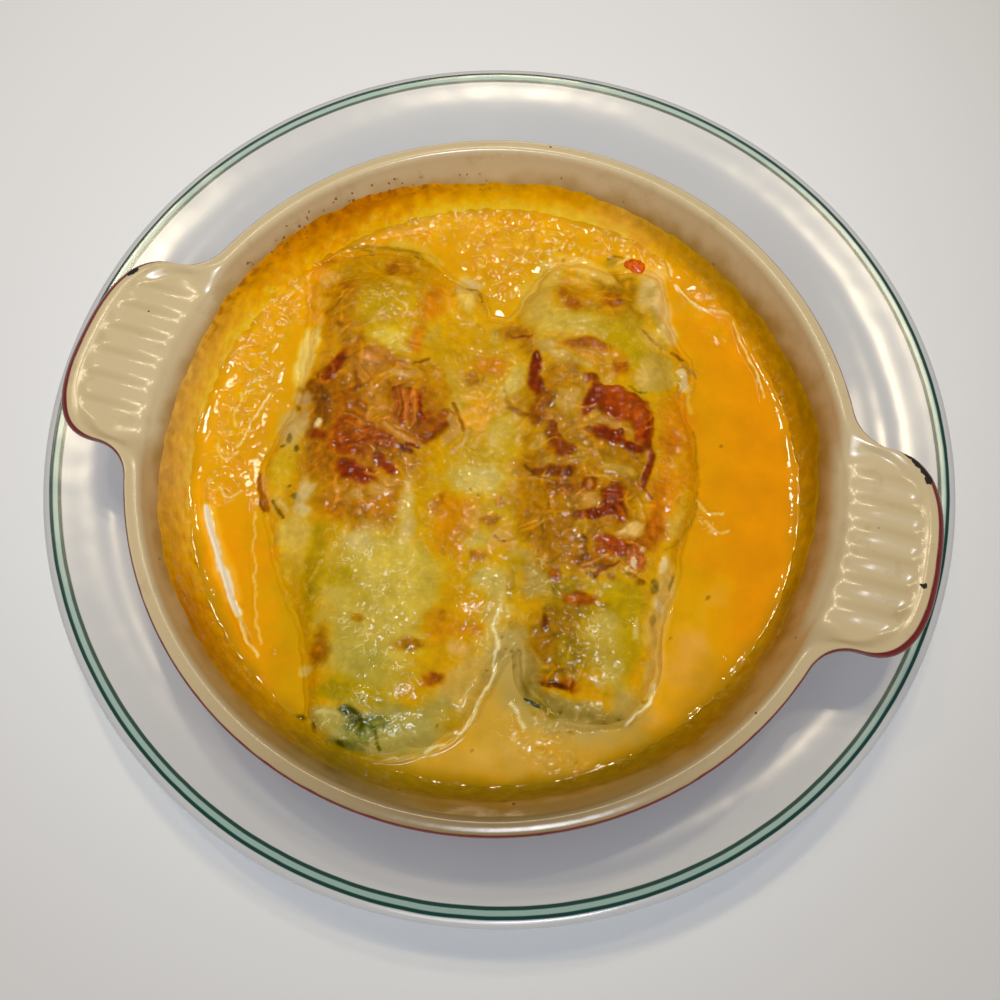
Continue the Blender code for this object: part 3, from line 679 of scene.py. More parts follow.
# The baked food's colours, laid one over another like glazes: colour, height it adds in
# millimetres, softness, then patches (x, y, half length, half width, turn, strength). Places on
# this plan are in millimetres from the dish's axis, read at one height and from one side.
READ_FROM = (22 * mm, -79 * mm, 254 * mm)
READ_HEIGHT = 33 * mm
GLAZES = [
    # sauce: golden at the left and top, deep orange at the right, pinkish cream low at the right
    ("#e8a60c", 0, 0.9, [(0, 75, 90, 22, 0, 1), (-76, 0, 16, 80, 0, 1)]),
    ("#e49504", 0, 0.7, [(72, 5, 26, 62, 0, 1), (50, 60, 16, 14, -35, 0.9)]),
    ("#e2a81e", 0, 0.7, [(-42, 70, 24, 9, 25, 0.8), (-20, 66, 16, 7, 0, 0.6), (0, 76, 16, 8, 0, 0.7),
        (-72, 30, 7, 18, -15, 0.6), (-73, -5, 6, 22, 0, 0.35), (12, 74, 10, 4, 0, 0.6)]),
    ("#eb9c0c", 0, 0.7, [(-16, 57, 11, 5, 0, 0.8), (-30, 60, 8, 4, 20, 0.4), (42, 57, 5, 6, 0, 0.5),
        (-58, -42, 7, 22, -30, 0.8), (-66, -15, 4, 16, 0, 0.7)]),
    ("#e6ab3c", 0, 0.7, [(62, -32, 9, 15, 10, 0.9), (58, -50, 8, 10, -20, 0.9), (44, 62, 5, 5, 0, 0.5),
        (48, -66, 12, 6, 25, 0.8)]),
    ("#e8ad66", 0, 0.6, [(63, -36, 4, 4, 0, 0.75), (61, -43, 5, 4, 0, 0.6), (57, -57, 4, 2.5, 20, 0.7),
        (27, -72, 3, 2, 0, 0.7), (18, -76, 3, 2, 0, 0.5), (68, -20, 4, 5, 0, 0.4),
        (46, -66, 5, 3, 20, 0.4), (38, 60, 3, 4, 0, 0.5), (51, 56, 3, 3, 0, 0.4)]),
    ("#d8b062", 0, 0.7, [(24, -70, 20, 7, 5, 0.9), (8, -80, 18, 4, 8, 0.8), (30, -74, 14, 5, 12, 0.7)]),
    # darker tan by the near wall and low at both sides: painted shade
    ("#c09040", 0, 0.7, [(72, -48, 8, 12, -20, 0.8), (60, -62, 12, 4, 35, 0.7),
        (-62, -62, 22, 5, -48, 0.7)]),
    ("#b89c50", 0, 0.7, [(0, -86, 34, 3.5, 0, 0.8), (36, -80, 14, 3, 18, 0.7)]),
    # the food's ground colours
    ("#cf9d1c", 0, 0.6, [(-20, 10, 46, 50, 0, 0.9), (-12, -45, 32, 38, 10, 0.9),
        (30, 5, 26, 66, 12, 0.9)]),
    # left roll, far end
    ("#bb8c0d", 0, 0.5, [(-52, 46, 14, 10, 20, 0.9), (-42, 52, 10, 6, -5, 0.8),
        (-44, 38, 10, 8, 0, 0.7)]),
    ("#b27808", 0.2, 0.5, [(-43, 51, 4.5, 2.0, -8, 0.9), (-58, 34, 7, 9, 0, 0.8),
        (-50, 28, 7, 5, 0, 0.8), (-66, 47, 4, 3, 40, 0.8), (-56, 38, 3, 3, 0, 0.6),
        (-45, 22, 12, 3, 0, 0.85)]),
    ("#a06004", 0, 0.5, [(-46, 49.5, 1.6, 1.4, 0, 0.9), (-54, 36, 1.6, 2.6, 0, 0.6),
        (-54, 28, 3, 1.2, 0, 0.6), (-47, 25, 2.6, 1.2, 20, 0.6), (-57, 40, 2, 1, 0, 0.6)]),
    ("#dcae50", 0.3, 0.5, [(-42, 46.6, 3.8, 1.5, -5, 0.9), (-62, 33, 3, 2.2, 0, 0.6),
        (-37, 41, 2, 3, 0, 0.4)]),
    ("#dfa045", 0.2, 0.5, [(-65, 42, 4, 2.4, 0, 0.85), (-62, 28, 3.2, 1.8, -25, 0.9),
        (-66, 36, 2, 4, 10, 0.6)]),
    ("#c79e22", 0, 0.5, [(-47, 36, 6, 6, 0, 0.8), (-42, 40, 5, 5, 0, 0.5)]),
    ("#d6b74a", 0.2, 0.5, [(-39, 27, 7, 4.5, 0, 0.95), (-38, 31, 4, 3, 0, 0.6)]),
    ("#dcc27a", 0.4, 0.5, [(-21.5, 47, 3.2, 5.6, 28, 0.85)]),
    # middle, far part
    ("#dca618", 0, 0.6, [(-24, 35, 8, 7, 0, 0.9), (-14, 42, 7, 5, 0, 0.8), (-36, 34, 4, 6, 0, 0.5)]),
    ("#cf7f06", 0.1, 0.5, [(-31, 42, 3.6, 5.5, 0, 0.95), (-31.5, 29, 2.2, 5, 5, 0.95),
        (-9, 27, 5.5, 3.2, 0, 0.85)]),
    ("#e6a010", 0, 0.6, [(-27, 44, 2.6, 4, 0, 0.8), (-8, 12, 3.5, 6, 0, 0.7), (-3, -14, 3, 5, 0, 0.5)]),
    ("#c9a24a", 0.3, 0.6, [(-10, 36, 1.6, 4.5, 0, 0.8), (-28, 32, 1.8, 4, -10, 0.7),
        (-20, 23, 2.4, 8, 25, 0.85), (-17, 13, 4, 4, 0, 0.95), (-27, 30, 3, 2, 0, 0.4)]),
    ("#c8950f", 0, 0.6, [(-20, 28, 5, 4, 0, 0.7), (-14, 31, 4, 4, 0, 0.7)]),
    ("#a56a0a", 0.1, 0.5, [(-12, 21.5, 2.6, 2.2, 20, 0.8), (-4, 39, 5, 2.4, 15, 0.85),
        (0, 36, 3, 3, 0, 0.6)]),
    ("#ddb95c", 0.9, 0.35, [(-22.5, 48.5, 3.2, 5.0, 35, 1.0), (-20, 44.5, 1.8, 3.5, 15, 0.9)]),
    ("#cbb48e", 0.2, 0.4, [(-20.5, 51.2, 2.8, 1.2, -20, 0.9)]),
    # right roll, far end
    ("#d3b154", 0.5, 0.5, [(-1, 50, 6, 8.5, 10, 0.95), (0, 60, 5, 6, 0, 0.9), (6, 46, 8, 3.5, 8, 0.85)]),
    ("#c68a16", 0, 0.5, [(9, 57, 7, 6, 0, 0.95), (18, 56, 7, 6, 0, 0.8)]),
    ("#a97b08", 0, 0.5, [(20, 63, 7, 4, 0, 0.95), (26, 54, 5, 6, 0, 0.8), (14, 53, 3, 3, 0, 0.4)]),
    ("#a85e04", 0.2, 0.5, [(9, 52.5, 2.2, 2.8, 0, 0.9), (20.3, 57.5, 3, 2.3, 0, 0.9),
        (5.2, 55.5, 1.6, 1.4, 0, 0.7)]),
    ("#dfab45", 0.3, 0.5, [(10, 61, 4, 2.6, 0, 0.9), (14, 58.5, 2, 2, 0, 0.5)]),
    ("#e3b958", 0.8, 0.35, [(8, 66.3, 8, 2.4, 0, 1.0), (15, 64.8, 3.5, 1.6, -15, 0.9),
        (1.5, 63.2, 3.5, 1.8, 40, 0.8)]),
    ("#c9aa4c", 0.3, 0.5, [(14, 48, 10, 3.4, 3, 0.9), (27, 50, 5, 4, -20, 0.6)]),
    ("#bb9a26", 0, 0.5, [(22, 48, 6, 3, 0, 0.7), (31, 43.5, 4.5, 5.5, 30, 0.95),
        (24, 44.5, 5, 2, 0, 0.6)]),
    ("#e4c486", 0.7, 0.5, [(30, 63, 3.6, 7, 15, 0.9), (34, 60, 2.4, 8, 22, 0.9),
        (38, 51, 2.4, 5, 40, 0.85), (31, 69, 2.5, 3, 0, 0.7)]),
    ("#a0863e", 0, 0.8, [(29.5, 62.5, 1.8, 2.4, 20, 0.6), (33, 55, 1.2, 3.5, 40, 0.6),
        (17, 69.5, 2.4, 1.2, 20, 0.8), (37, 47.5, 1, 2, 45, 0.6)]),
    ("#d9b458", 0.2, 0.6, [(34, 48, 3, 5, 40, 0.8), (22, 68, 5, 1.6, 0, 0.6)]),
    ("#ad6005", 0.5, 0.45, [(17, 41.5, 6, 1.8, 6, 0.95), (12, 40, 3.5, 1.2, 10, 0.7),
        (27, 36.5, 2.4, 2.6, 0, 0.9)]),
    ("#c98726", 0.3, 0.5, [(18, 38, 4, 1.8, 0, 0.8), (22, 35.5, 3, 2, 0, 0.7), (25, 40, 3, 2, 0, 0.5)]),
    ("#c9a45e", 0.5, 0.45, [(5, 38, 2.8, 2.6, 0, 0.9), (11, 35.6, 6.5, 1.7, -10, 0.95),
        (17.5, 34.5, 2, 1.2, 0, 0.6)]),
    ("#c3a34a", 0.5, 0.4, [(38, 36.5, 6.5, 5.2, -5, 1.0), (37, 41, 4.5, 2.5, 0, 0.8)]),
    ("#d0a763", 0.1, 0.6, [(34.5, 36, 3.5, 3, 0, 0.6)]),
    # trough between the rolls
    ("#cbb05e", 0.5, 0.45, [(-3, -6.5, 8, 5.6, 15, 1.0), (8, -34, 6.5, 5.5, -10, 1.0),
        (0, -23.5, 5, 3.5, 0, 0.9), (0, 8, 4, 7, 0, 0.7), (-1, 24, 2.8, 6, -10, 0.8),
        (13, -40, 4, 3, 0, 0.6)]),
    ("#c49c24", 0, 0.6, [(3, 3, 3, 6, 0, 0.85), (8, -14, 7, 4, 0, 0.7), (-8, 2, 4, 4, 0, 0.6)]),
    ("#b89a58", 0.3, 0.5, [(20, -30, 4.5, 5, 0, 0.95), (14, -17, 3.4, 4, 0, 0.7),
        (16.5, -25, 5, 3, 0, 0.9), (24, -23, 4.5, 3, 0, 0.7)]),
    ("#b38c08", 0, 0.45, [(14, -33, 1.4, 4.6, 15, 0.9), (14, -26, 2, 1.4, 0, 0.5),
        (-4.5, -1, 3, 3, 0, 0.5)]),
    ("#cf8709", 0.2, 0.5, [(-6, -20, 6, 6.5, 0, 0.95), (-9, -16, 4, 3, 0, 0.8), (-6, -30, 5, 5, 0, 0.8),
        (-2, -48, 4, 5, 15, 0.9), (5, -47, 6, 2.6, 10, 0.85)]),
    ("#d29a10", 0.1, 0.5, [(-5, -36, 6, 6, 0, 0.95), (3, -41, 7, 5, 0, 0.95), (4, -28, 5, 2.6, 0, 0.7),
        (-14, -22, 3, 4, 0, 0.4)]),
    ("#a8680c", 0.2, 0.4, [(4, -17.2, 2.8, 1.8, 10, 0.8), (3.2, -27.6, 2.4, 1.3, -20, 0.8),
        (4.8, -11.6, 1.6, 1.2, 0, 0.7), (-11, -17, 1.5, 3, 0, 0.5), (18, -43, 2, 1.4, 0, 0.7),
        (-1, -46, 1, 1.6, 0, 0.6)]),
    ("#d7ab74", 0.3, 0.5, [(5.5, -52.5, 3.4, 2, 0, 0.7), (6, -62, 4, 4, 0, 0.5),
        (-16.5, -27, 2, 3, 0, 0.5)]),
    ("#cdac5e", 0.2, 0.5, [(14, -50, 4, 6, 0, 0.95), (11, -58, 5, 6, 0, 0.9), (17.5, -60, 4, 6, 0, 0.7),
        (8, -66, 6, 4, 0, 0.7), (11.5, -42, 2.6, 3.5, 0, 0.9)]),
    ("#dfae42", 0, 0.5, [(19, -64, 5, 5, 0, 0.8), (27, -63, 2.2, 1.6, 0, 0.5)]),
    ("#cf960f", 0.8, 0.3, [(8.8, -70.3, 2.7, 2.4, 0, 0.95)]),
    # right roll, browned crown
    ("#b4780f", 0.2, 0.35, [(12, 25, 9, 9, 0, 0.9), (22, 8, 14, 14, 0, 0.95), (33, 12, 9, 12, 0, 0.95),
        (31, -10, 13, 14, 0, 0.97), (20, -8, 12, 10, 0, 0.9), (23, -18, 9, 8, 0, 0.8)]),
    ("#a06a12", 0, 0.5, [(23, -15, 6, 8, 0, 0.6), (15, -17, 5, 4, 0, 0.5), (11, 0, 5, 4, 0, 0.55),
        (38, 2, 4, 7, 0, 0.6), (9, 18, 4, 5, 0, 0.7), (30, -14, 6, 3, 0, 0.6), (24, -4, 4, 5, 0, 0.5)]),
    ("#ad7a0c", 0, 0.5, [(25, 10, 7, 2.6, -5, 0.8), (16, 31, 4, 3, 0, 0.7), (3, 18, 4, 4, 0, 0.7),
        (18, 15, 4, 3, 0, 0.5)]),
    ("#bc9040", 0.5, 0.45, [(15, 23, 3.6, 4.6, 0, 0.85), (12, 10, 3.4, 2.4, 20, 0.8),
        (33, 6.4, 5.6, 2.0, -5, 0.85), (22, 6.5, 4, 1.6, 10, 0.6), (28, -12, 2.2, 2.0, 0, 0.6),
        (15, 4, 2.6, 1.2, 30, 0.6)]),
    ("#c89c50", 0.4, 0.4, [(9.5, 6.6, 2.0, 1.2, 30, 0.8), (17, 26, 1.6, 1.8, 0, 0.6),
        (34, 6.6, 3.6, 0.9, -5, 0.6), (14, 20.5, 1.6, 1.6, 0, 0.5)]),
    ("#925012", 0.3, 0.45, [(8.5, 21.5, 2.2, 3.0, 10, 0.9), (8, 16, 3, 2.6, -30, 0.8),
        (13.5, 11.5, 1.8, 3.2, 35, 0.9), (20, -3, 5, 2, 10, 0.7), (42, -13, 3, 3, 0, 0.6),
        (33, -21, 6, 2, 10, 0.7)]),
    ("#7a2c0c", 0.5, 0.3, [(3.6, 30, 1.9, 4.6, 8, 1.0), (5.2, 25.4, 2.4, 2.8, 20, 0.95),
        (2.6, 33.6, 1.0, 1.4, 0, 0.9)]),
    ("#883e0e", 0.4, 0.35, [(20.0, 31.4, 2.2, 1.6, 0, 0.95), (22.5, 29.4, 1.6, 1.4, 0, 0.8),
        (13.6, 13.4, 1.1, 2.4, 35, 0.95), (17.4, 8.2, 3.4, 2.2, 12, 0.95),
        (15.4, 10.4, 1.2, 2.0, 35, 0.8)]),
    ("#a2420a", 1.6, 0.16, [(29.5, 25.4, 9.4, 4.8, -8, 1.0), (37.2, 20.6, 3.0, 6.0, 24, 1.0)]),
    ("#7c2c0c", 0.2, 0.5, [(22.2, 25.4, 2.2, 3.8, -10, 0.95), (21.0, 21.6, 1.4, 2.0, 0, 0.9),
        (27, 22.6, 5, 1.2, 0, 0.5), (39.4, 17.6, 1.0, 3.6, 18, 0.8)]),
    ("#b0501a", 0.1, 0.6, [(33.5, 24.2, 3.0, 2.6, -30, 0.8), (29, 28, 4, 1.2, -5, 0.5)]),
    ("#c08a48", 0.3, 0.4, [(28.6, 19.0, 4.8, 1.6, -4, 0.9), (34.0, 17.6, 2.2, 1.2, 0, 0.8),
        (24, 18.4, 1.6, 1.2, 0, 0.6)]),
    ("#7a2c0c", 0.5, 0.35, [(28.4, 15.6, 4.8, 2.3, -6, 1.0), (36.4, 14.2, 3.4, 1.3, 8, 1.0),
        (31.4, 17.0, 1.2, 1.2, 0, 0.8), (42.0, 8.0, 1.0, 5.4, -3, 1.0),
        (41.2, 12.6, 1.0, 2.0, 10, 0.9)]),
    ("#783c12", 0.5, 0.35, [(18.4, 1.4, 4.6, 2.0, 20, 1.0), (13.5, -0.4, 2.6, 1.0, 10, 0.8)]),
    ("#7e300c", 0.4, 0.4, [(27.0, 0.2, 1.9, 2.2, 0, 0.9)]),
    ("#b87c40", 0.1, 0.4, [(27.0, 0.2, 0.9, 1.0, 0, 0.8)]),
    ("#80300c", 0.5, 0.35, [(33.8, -2.4, 3.2, 4.8, 0, 1.0), (36.8, -5.6, 2.0, 2.6, 20, 0.8)]),
    ("#c08a44", 0.6, 0.4, [(28.4, -4.0, 3.0, 2.3, 30, 0.95), (22.5, -7.5, 2.0, 1.4, 0, 0.5)]),
    ("#7a300e", 0.3, 0.35, [(30.2, -8.0, 5.0, 1.6, 22, 1.0), (34.4, -5.6, 2.0, 1.4, 10, 0.9)]),
    ("#e8bc70", 1.2, 0.4, [(41.4, -9.6, 3.6, 2.1, 28, 1.0), (38.6, -10.8, 1.4, 0.8, 20, 0.9)]),
    ("#b8823e", 0.4, 0.5, [(34, -12.2, 3, 1.2, 40, 0.7)]),
    ("#9c3e08", 0.6, 0.4, [(38, -14.8, 5.8, 2.2, -5, 0.95), (35.5, -17, 3, 1.6, 0, 0.7)]),
    ("#b06038", 0.8, 0.35, [(44.3, -16.8, 2.4, 4.0, 25, 1.0)]),
    # white glints on the glossy patch: painted highlights
    ("#f4dcb8", 0.5, 0.3, [(45.2, -14.2, 0.8, 0.8, 0, 0.9), (44.2, -18.4, 0.6, 1.6, 15, 0.8),
        (43, -20.4, 0.5, 0.9, 0, 0.7)]),
    ("#6c400f", 0.2, 0.5, [(36.4, -21.6, 1.6, 0.7, 20, 0.7), (38.9, -23.6, 1.4, 0.7, -30, 0.7),
        (41, -25.2, 0.8, 1.2, 0, 0.7), (46.5, -22.8, 1.4, 1.0, 0, 0.85), (44, -21.6, 1.4, 0.8, 0, 0.6),
        (30.2, -19.5, 0.8, 2.2, 0, 0.6), (29.5, -16, 0.8, 2, 10, 0.6), (24.6, -27, 1.8, 1.8, 0, 0.8),
        (33.4, -24.6, 1.0, 0.6, 0, 0.7)]),
    ("#d88a10", 0.2, 0.6, [(46.5, 25, 4.6, 7, 10, 0.95), (49, 10, 5, 12, -4, 0.95),
        (50.5, -2, 4, 8, 0, 0.8), (46, 33, 3, 3, 0, 0.5)]),
    ("#b65d07", 0.2, 0.6, [(47, -8, 2.6, 6, 0, 0.8), (46.5, 18, 3, 3, 0, 0.5), (46, 3, 2.5, 5, 0, 0.4)]),
    ("#d2a444", 0.1, 0.6, [(52.5, -5, 2.6, 5, 0, 0.85), (49.5, 14, 2, 4, 0, 0.4),
        (53.5, 2, 2, 5, 0, 0.5)]),
    # right roll, near part
    ("#b8981c", 0, 0.5, [(43, -30, 6, 6, 0, 0.95), (47, -38, 3.6, 12, 5, 0.95), (38, -27, 5, 3, 0, 0.7)]),
    ("#9a7a20", 0, 0.5, [(33, -46, 7, 7, 0, 0.95), (28, -33, 5, 6, 0, 0.95), (36, -34, 5, 2.6, 18, 0.8)]),
    ("#9c6c12", 0.1, 0.5, [(25, -46, 4.6, 8, 5, 0.95), (30, -38, 6, 4, 0, 0.7), (30, -52, 6, 3, 0, 0.8)]),
    ("#a3530a", 0.4, 0.4, [(32.5, -31.6, 4.8, 1.6, 10, 0.95), (24.6, -27.3, 1.4, 1.8, 40, 0.9),
        (35.5, -54, 2.8, 1.8, 0, 0.9)]),
    ("#5e2803", 0.2, 0.4, [(31, -55.2, 3.8, 1.1, 4, 1.0), (25.2, -40, 0.8, 2.2, 10, 0.7),
        (28, -54.5, 2, 1, 0, 0.5)]),
    ("#bca048", 0.3, 0.5, [(40, -39, 6, 5, 0, 0.95), (44.5, -47.5, 4, 5, 0, 0.95),
        (40, -45, 4, 4, 0, 0.7)]),
    ("#c4aa58", 0.2, 0.6, [(41, -36.5, 3.6, 3, 0, 0.6), (45.5, -48, 2, 3, 0, 0.5)]),
    ("#ddb463", 0.4, 0.5, [(53.5, -26, 2.8, 11, 3, 0.95), (55.5, -45, 2, 8, 0, 0.8),
        (52.5, -35, 2.5, 5, 0, 0.6)]),
    ("#e9cf9c", 0.6, 0.4, [(51.5, -17, 1.1, 2.6, -15, 0.9), (53, -27.5, 1.4, 2.2, 20, 0.9),
        (48.5, -35, 0.8, 3, 5, 0.6)]),
    ("#6c5a2c", 0, 0.4, [(50.6, -23, 1.0, 1.8, 0, 0.8), (54.8, -20.5, 0.5, 2, 0, 0.6),
        (52, -32, 0.7, 1.6, 0, 0.4)]),
    # right roll, near end, under cream
    ("#c9a04a", 0, 0.8, [(18, -60, 9, 9, 0, 0.7), (36, -67, 20, 5, 4, 0.7)]),
    ("#b8a062", 0, 0.6, [(18.5, -50, 4.6, 9, 0, 0.95), (23, -56, 4, 7, 0, 0.9),
        (37, -62.5, 16, 4.4, 2, 0.9), (51, -56, 5, 5, 0, 0.8)]),
    ("#9a8648", 0, 0.6, [(38, -59.4, 12, 2.2, 2, 0.85), (26, -57, 2.0, 4, 15, 0.8)]),
    ("#6e5e22", 0, 0.6, [(25, -57.2, 1.0, 2.6, 10, 0.5), (31.5, -61.0, 3.5, 0.5, -18, 0.6),
        (33.5, -62.4, 1.6, 0.6, -20, 0.6), (45, -61, 2, 0.5, 20, 0.4), (38.8, -65.3, 1, 0.5, 0, 0.5),
        (29, -63.3, 1.2, 0.5, -20, 0.4)]),
    # left roll, browned crown
    ("#b8740e", 0.2, 0.35, [(-38, 2, 18, 20, 10, 0.97), (-42, 17, 13, 6, 0, 0.9),
        (-26, 6, 9, 11, 0, 0.9), (-38, -20, 12, 9, 15, 0.92), (-27, -22, 7, 7, 0, 0.85)]),
    ("#ba7c18", 0.1, 0.5, [(-42, 14, 7, 4, 0, 0.8), (-36, 8, 4, 5, 0, 0.75), (-28, 17, 4, 3, 0, 0.7),
        (-20, 15, 3, 3, 0, 0.7), (-46, -20, 4, 5, 15, 0.75), (-24, 21, 4, 2.6, 0, 0.7),
        (-22, -12, 5, 5, 0, 0.6)]),
    ("#a6661a", 0.3, 0.5, [(-48, 7, 8, 5, -20, 0.85), (-44, -10, 9, 8, 0, 0.85),
        (-39, -24, 5, 4, 10, 0.7), (-30, -27, 2.4, 4.2, 10, 0.8), (-31, -6, 8, 4, 0, 0.85),
        (-21, 4, 6, 3.4, 20, 0.85), (-27, 9, 6, 5, 0, 0.8), (-47, 17, 3, 3, 0, 0.6)]),
    ("#7e300c", 0.5, 0.35, [(-51.6, 15, 1.9, 5.2, -14, 1.0), (-53, 10.5, 2.0, 2.0, 0, 0.8)]),
    ("#7a4612", 0.3, 0.4, [(-55.5, 5.5, 3.6, 3.6, 20, 0.95), (-50.4, 1.0, 2.2, 5.0, 10, 0.9),
        (-52, -4, 1.6, 2.6, 0, 0.6)]),
    ("#985412", 0.5, 0.35, [(-44.5, 5.6, 4.6, 1.6, -6, 0.95), (-40, 4.2, 2.0, 1.4, -40, 0.85)]),
    ("#98440d", 0.5, 0.35, [(-40.5, -3.4, 6.2, 5.4, -8, 0.95), (-40, -8, 5.5, 2.4, 0, 0.9),
        (-32, -3.0, 4.2, 2.4, -10, 0.95)]),
    ("#a8602c", 0.2, 0.5, [(-41, -2.6, 3.0, 2.0, 0, 0.6), (-44, 1.8, 4, 1.0, 15, 0.7),
        (-47, 4, 1.2, 2.4, 0, 0.6), (-52, 9.6, 2, 0.8, 0, 0.7), (-36, -7.4, 1.6, 1.0, 0, 0.5)]),
    ("#86300c", 0.4, 0.35, [(-35.8, -14.4, 5.8, 2.6, -10, 1.0), (-27.6, -10.6, 3.2, 1.9, -25, 1.0),
        (-30.4, -8.2, 1.6, 1.2, 0, 0.8)]),
    ("#6c3410", 0.2, 0.35, [(-24.0, -4.2, 2.8, 1.1, -12, 1.0)]),
    ("#a44e12", 0.3, 0.4, [(-22.4, 5.6, 2.6, 2.6, 0, 0.9), (-25.6, 11.5, 1.6, 2.4, 0, 0.7)]),
    ("#c49250", 0.5, 0.45, [(-31.5, 18.0, 4.8, 1.5, 12, 0.9), (-33, -20.5, 2.4, 1.8, 0, 0.8),
        (-28, -17.2, 2.8, 1.8, 5, 0.85), (-38, -20, 1.6, 1.4, 0, 0.5), (-27, -28, 2.2, 2.4, 0, 0.7),
        (-35, -23, 1.2, 2, 0, 0.5)]),
    ("#f0d8a8", 0.6, 0.35, [(-50.8, -3.4, 1.0, 1.6, 15, 0.95)]),
    ("#8e3a05", 0.2, 0.4, [(-49.5, -6.8, 3, 1.6, 15, 0.9)]),
    # left roll, near part
    ("#c4ac54", 0.2, 0.6, [(-22, -44, 16, 15, 15, 0.95), (-17, -60, 12, 10, 15, 0.9),
        (-8, -38, 4, 6, 0, 0.7)]),
    ("#d0b44c", 0.3, 0.6, [(-16, -34, 9, 5, 0, 0.85), (-11, -43, 6, 5, 0, 0.8),
        (-24, -33, 6, 3.5, 0, 0.8)]),
    ("#d2b878", 0.4, 0.6, [(-29, -33, 5, 2.6, 0, 0.8), (-19, -20, 2, 7, 12, 0.7),
        (-17, -27, 2.4, 4, 0, 0.6)]),
    ("#ab8c0e", 0, 0.5, [(-38, -42, 2.6, 12, 12, 0.9), (-30, -43, 5, 3, 0, 0.6),
        (-35, -54, 1.6, 5, 10, 0.6), (-17, -67, 7, 3.5, 35, 0.6)]),
    ("#b2a04c", 0, 0.5, [(-18, -63, 6.5, 4.8, 10, 0.95), (-24, -56, 4, 5, 0, 0.5),
        (-10, -66, 5, 3, 0, 0.5)]),
    ("#a08c28", 0, 0.45, [(-19, -71.5, 8, 2.4, 12, 0.9), (-10, -72, 6, 1.6, 0, 0.7),
        (-4, -72, 2.5, 2, 0, 0.5)]),
    ("#b89a28", 0.3, 0.5, [(-15, -69.8, 7, 1.2, 12, 0.7), (-24, -47, 3, 2, 0, 0.3)]),
    ("#a4700c", 0.2, 0.45, [(-29.3, -62, 2.2, 5.6, 6, 0.95), (-22.4, -52, 1.6, 1.0, 0, 0.85),
        (-7.2, -55.3, 4.6, 1.7, 17, 1.0)]),
    ("#b0660a", 0.4, 0.4, [(1.2, -62, 3.0, 2.1, 30, 1.0), (-29.5, -64, 1.1, 2, 0, 0.6)]),
    ("#9a540c", 0.1, 0.5, [(1.8, -61.2, 1.5, 1.1, 30, 0.9)]),
    # left flank
    ("#d0a034", 0, 0.6, [(-56, -16, 5, 10, 0, 0.9), (-50, -30, 6, 10, -30, 0.8)]),
    ("#e8cd76", 0.6, 0.35, [(-60.5, 15.5, 2.6, 9.6, 4, 1.0), (-61, 21, 2.6, 4, 15, 0.9)]),
    ("#c8ab72", 0.3, 0.5, [(-57, 2.5, 2.6, 2.4, 0, 0.9), (-57, -6.5, 3.8, 5.5, 0, 0.95)]),
    ("#b89470", 0.2, 0.5, [(-56.5, 2, 1.6, 1.4, 0, 0.8), (-55, -2, 1.4, 2, 0, 0.6)]),
    ("#5f4e22", 0, 0.4, [(-57, -0.4, 0.9, 0.7, 0, 0.7), (-56.8, -10, 0.9, 1.6, 0, 0.7),
        (-53.6, -12.3, 0.9, 0.9, 0, 0.8), (-58, -12.6, 0.6, 0.6, 0, 0.6),
        (-48.6, -25.6, 1.6, 1.1, -20, 0.85), (-54.6, -15.4, 0.6, 0.6, 0, 0.6)]),
    ("#cda732", 0, 0.5, [(-55, -19, 3.4, 5, 10, 0.8)]),
    ("#dcc490", 0.4, 0.45, [(-47.5, -24, 2, 4, 10, 0.8), (-46, -28.5, 2.4, 1.8, -10, 0.95),
        (-46, -23, 1, 3, -25, 0.6)]),
    ("#d4b558", 0.2, 0.5, [(-46, -36, 4.6, 6.5, 15, 0.95), (-44, -44, 3.4, 5, 20, 0.8),
        (-54, -28, 2, 3, 30, 0.6)]),
    # left roll, near end: cream over wet spinach
    ("#c79c20", 0, 0.8, [(-31, -76, 9, 4, -35, 0.8), (-38, -60, 3.6, 9, 22, 0.7),
        (-42, -50, 3, 10, 24, 0.7)]),
    ("#d9c070", 0.6, 0.4, [(-31, -69, 1.6, 1.8, 0, 0.9)]),
    ("#a89e5c", 0, 0.6, [(-12, -79, 13, 6.5, 5, 0.95), (-3, -75, 9, 5, 15, 0.8), (6, -70, 5, 5, 0, 0.5)]),
    ("#b3a55c", 0.2, 0.5, [(2, -76, 6, 5, 20, 0.9), (-22, -78.5, 4, 2.4, 0, 0.8),
        (-4, -81, 4, 2, 15, 0.7)]),
    ("#70763e", 0, 0.5, [(-13, -79.5, 3.6, 3, 0, 0.85), (-9, -76, 3.5, 1.8, 0, 0.8),
        (-15, -83.6, 5, 1.6, 0, 0.85)]),
    ("#434620", 0, 0.5, [(-15.8, -75.8, 3.6, 1.6, -14, 1.0), (-13.5, -78, 1.6, 1.2, 0, 0.7),
        (-28, -79.9, 1.7, 0.6, 8, 0.95), (-20.4, -84.8, 1.2, 0.8, 0, 0.9),
        (-16.5, -83.2, 1.4, 0.9, 0, 0.8)]),
    ("#b4ae78", 0.2, 0.4, [(-15, -76.6, 1.2, 0.5, -10, 0.5), (-17.5, -81, 2, 0.8, 20, 0.5)]),
    ("#d4b774", 0.3, 0.5, [(-31.5, -80.4, 2, 0.9, 10, 0.7), (-25.5, -81.6, 0.8, 1.4, 40, 0.5)]),
]

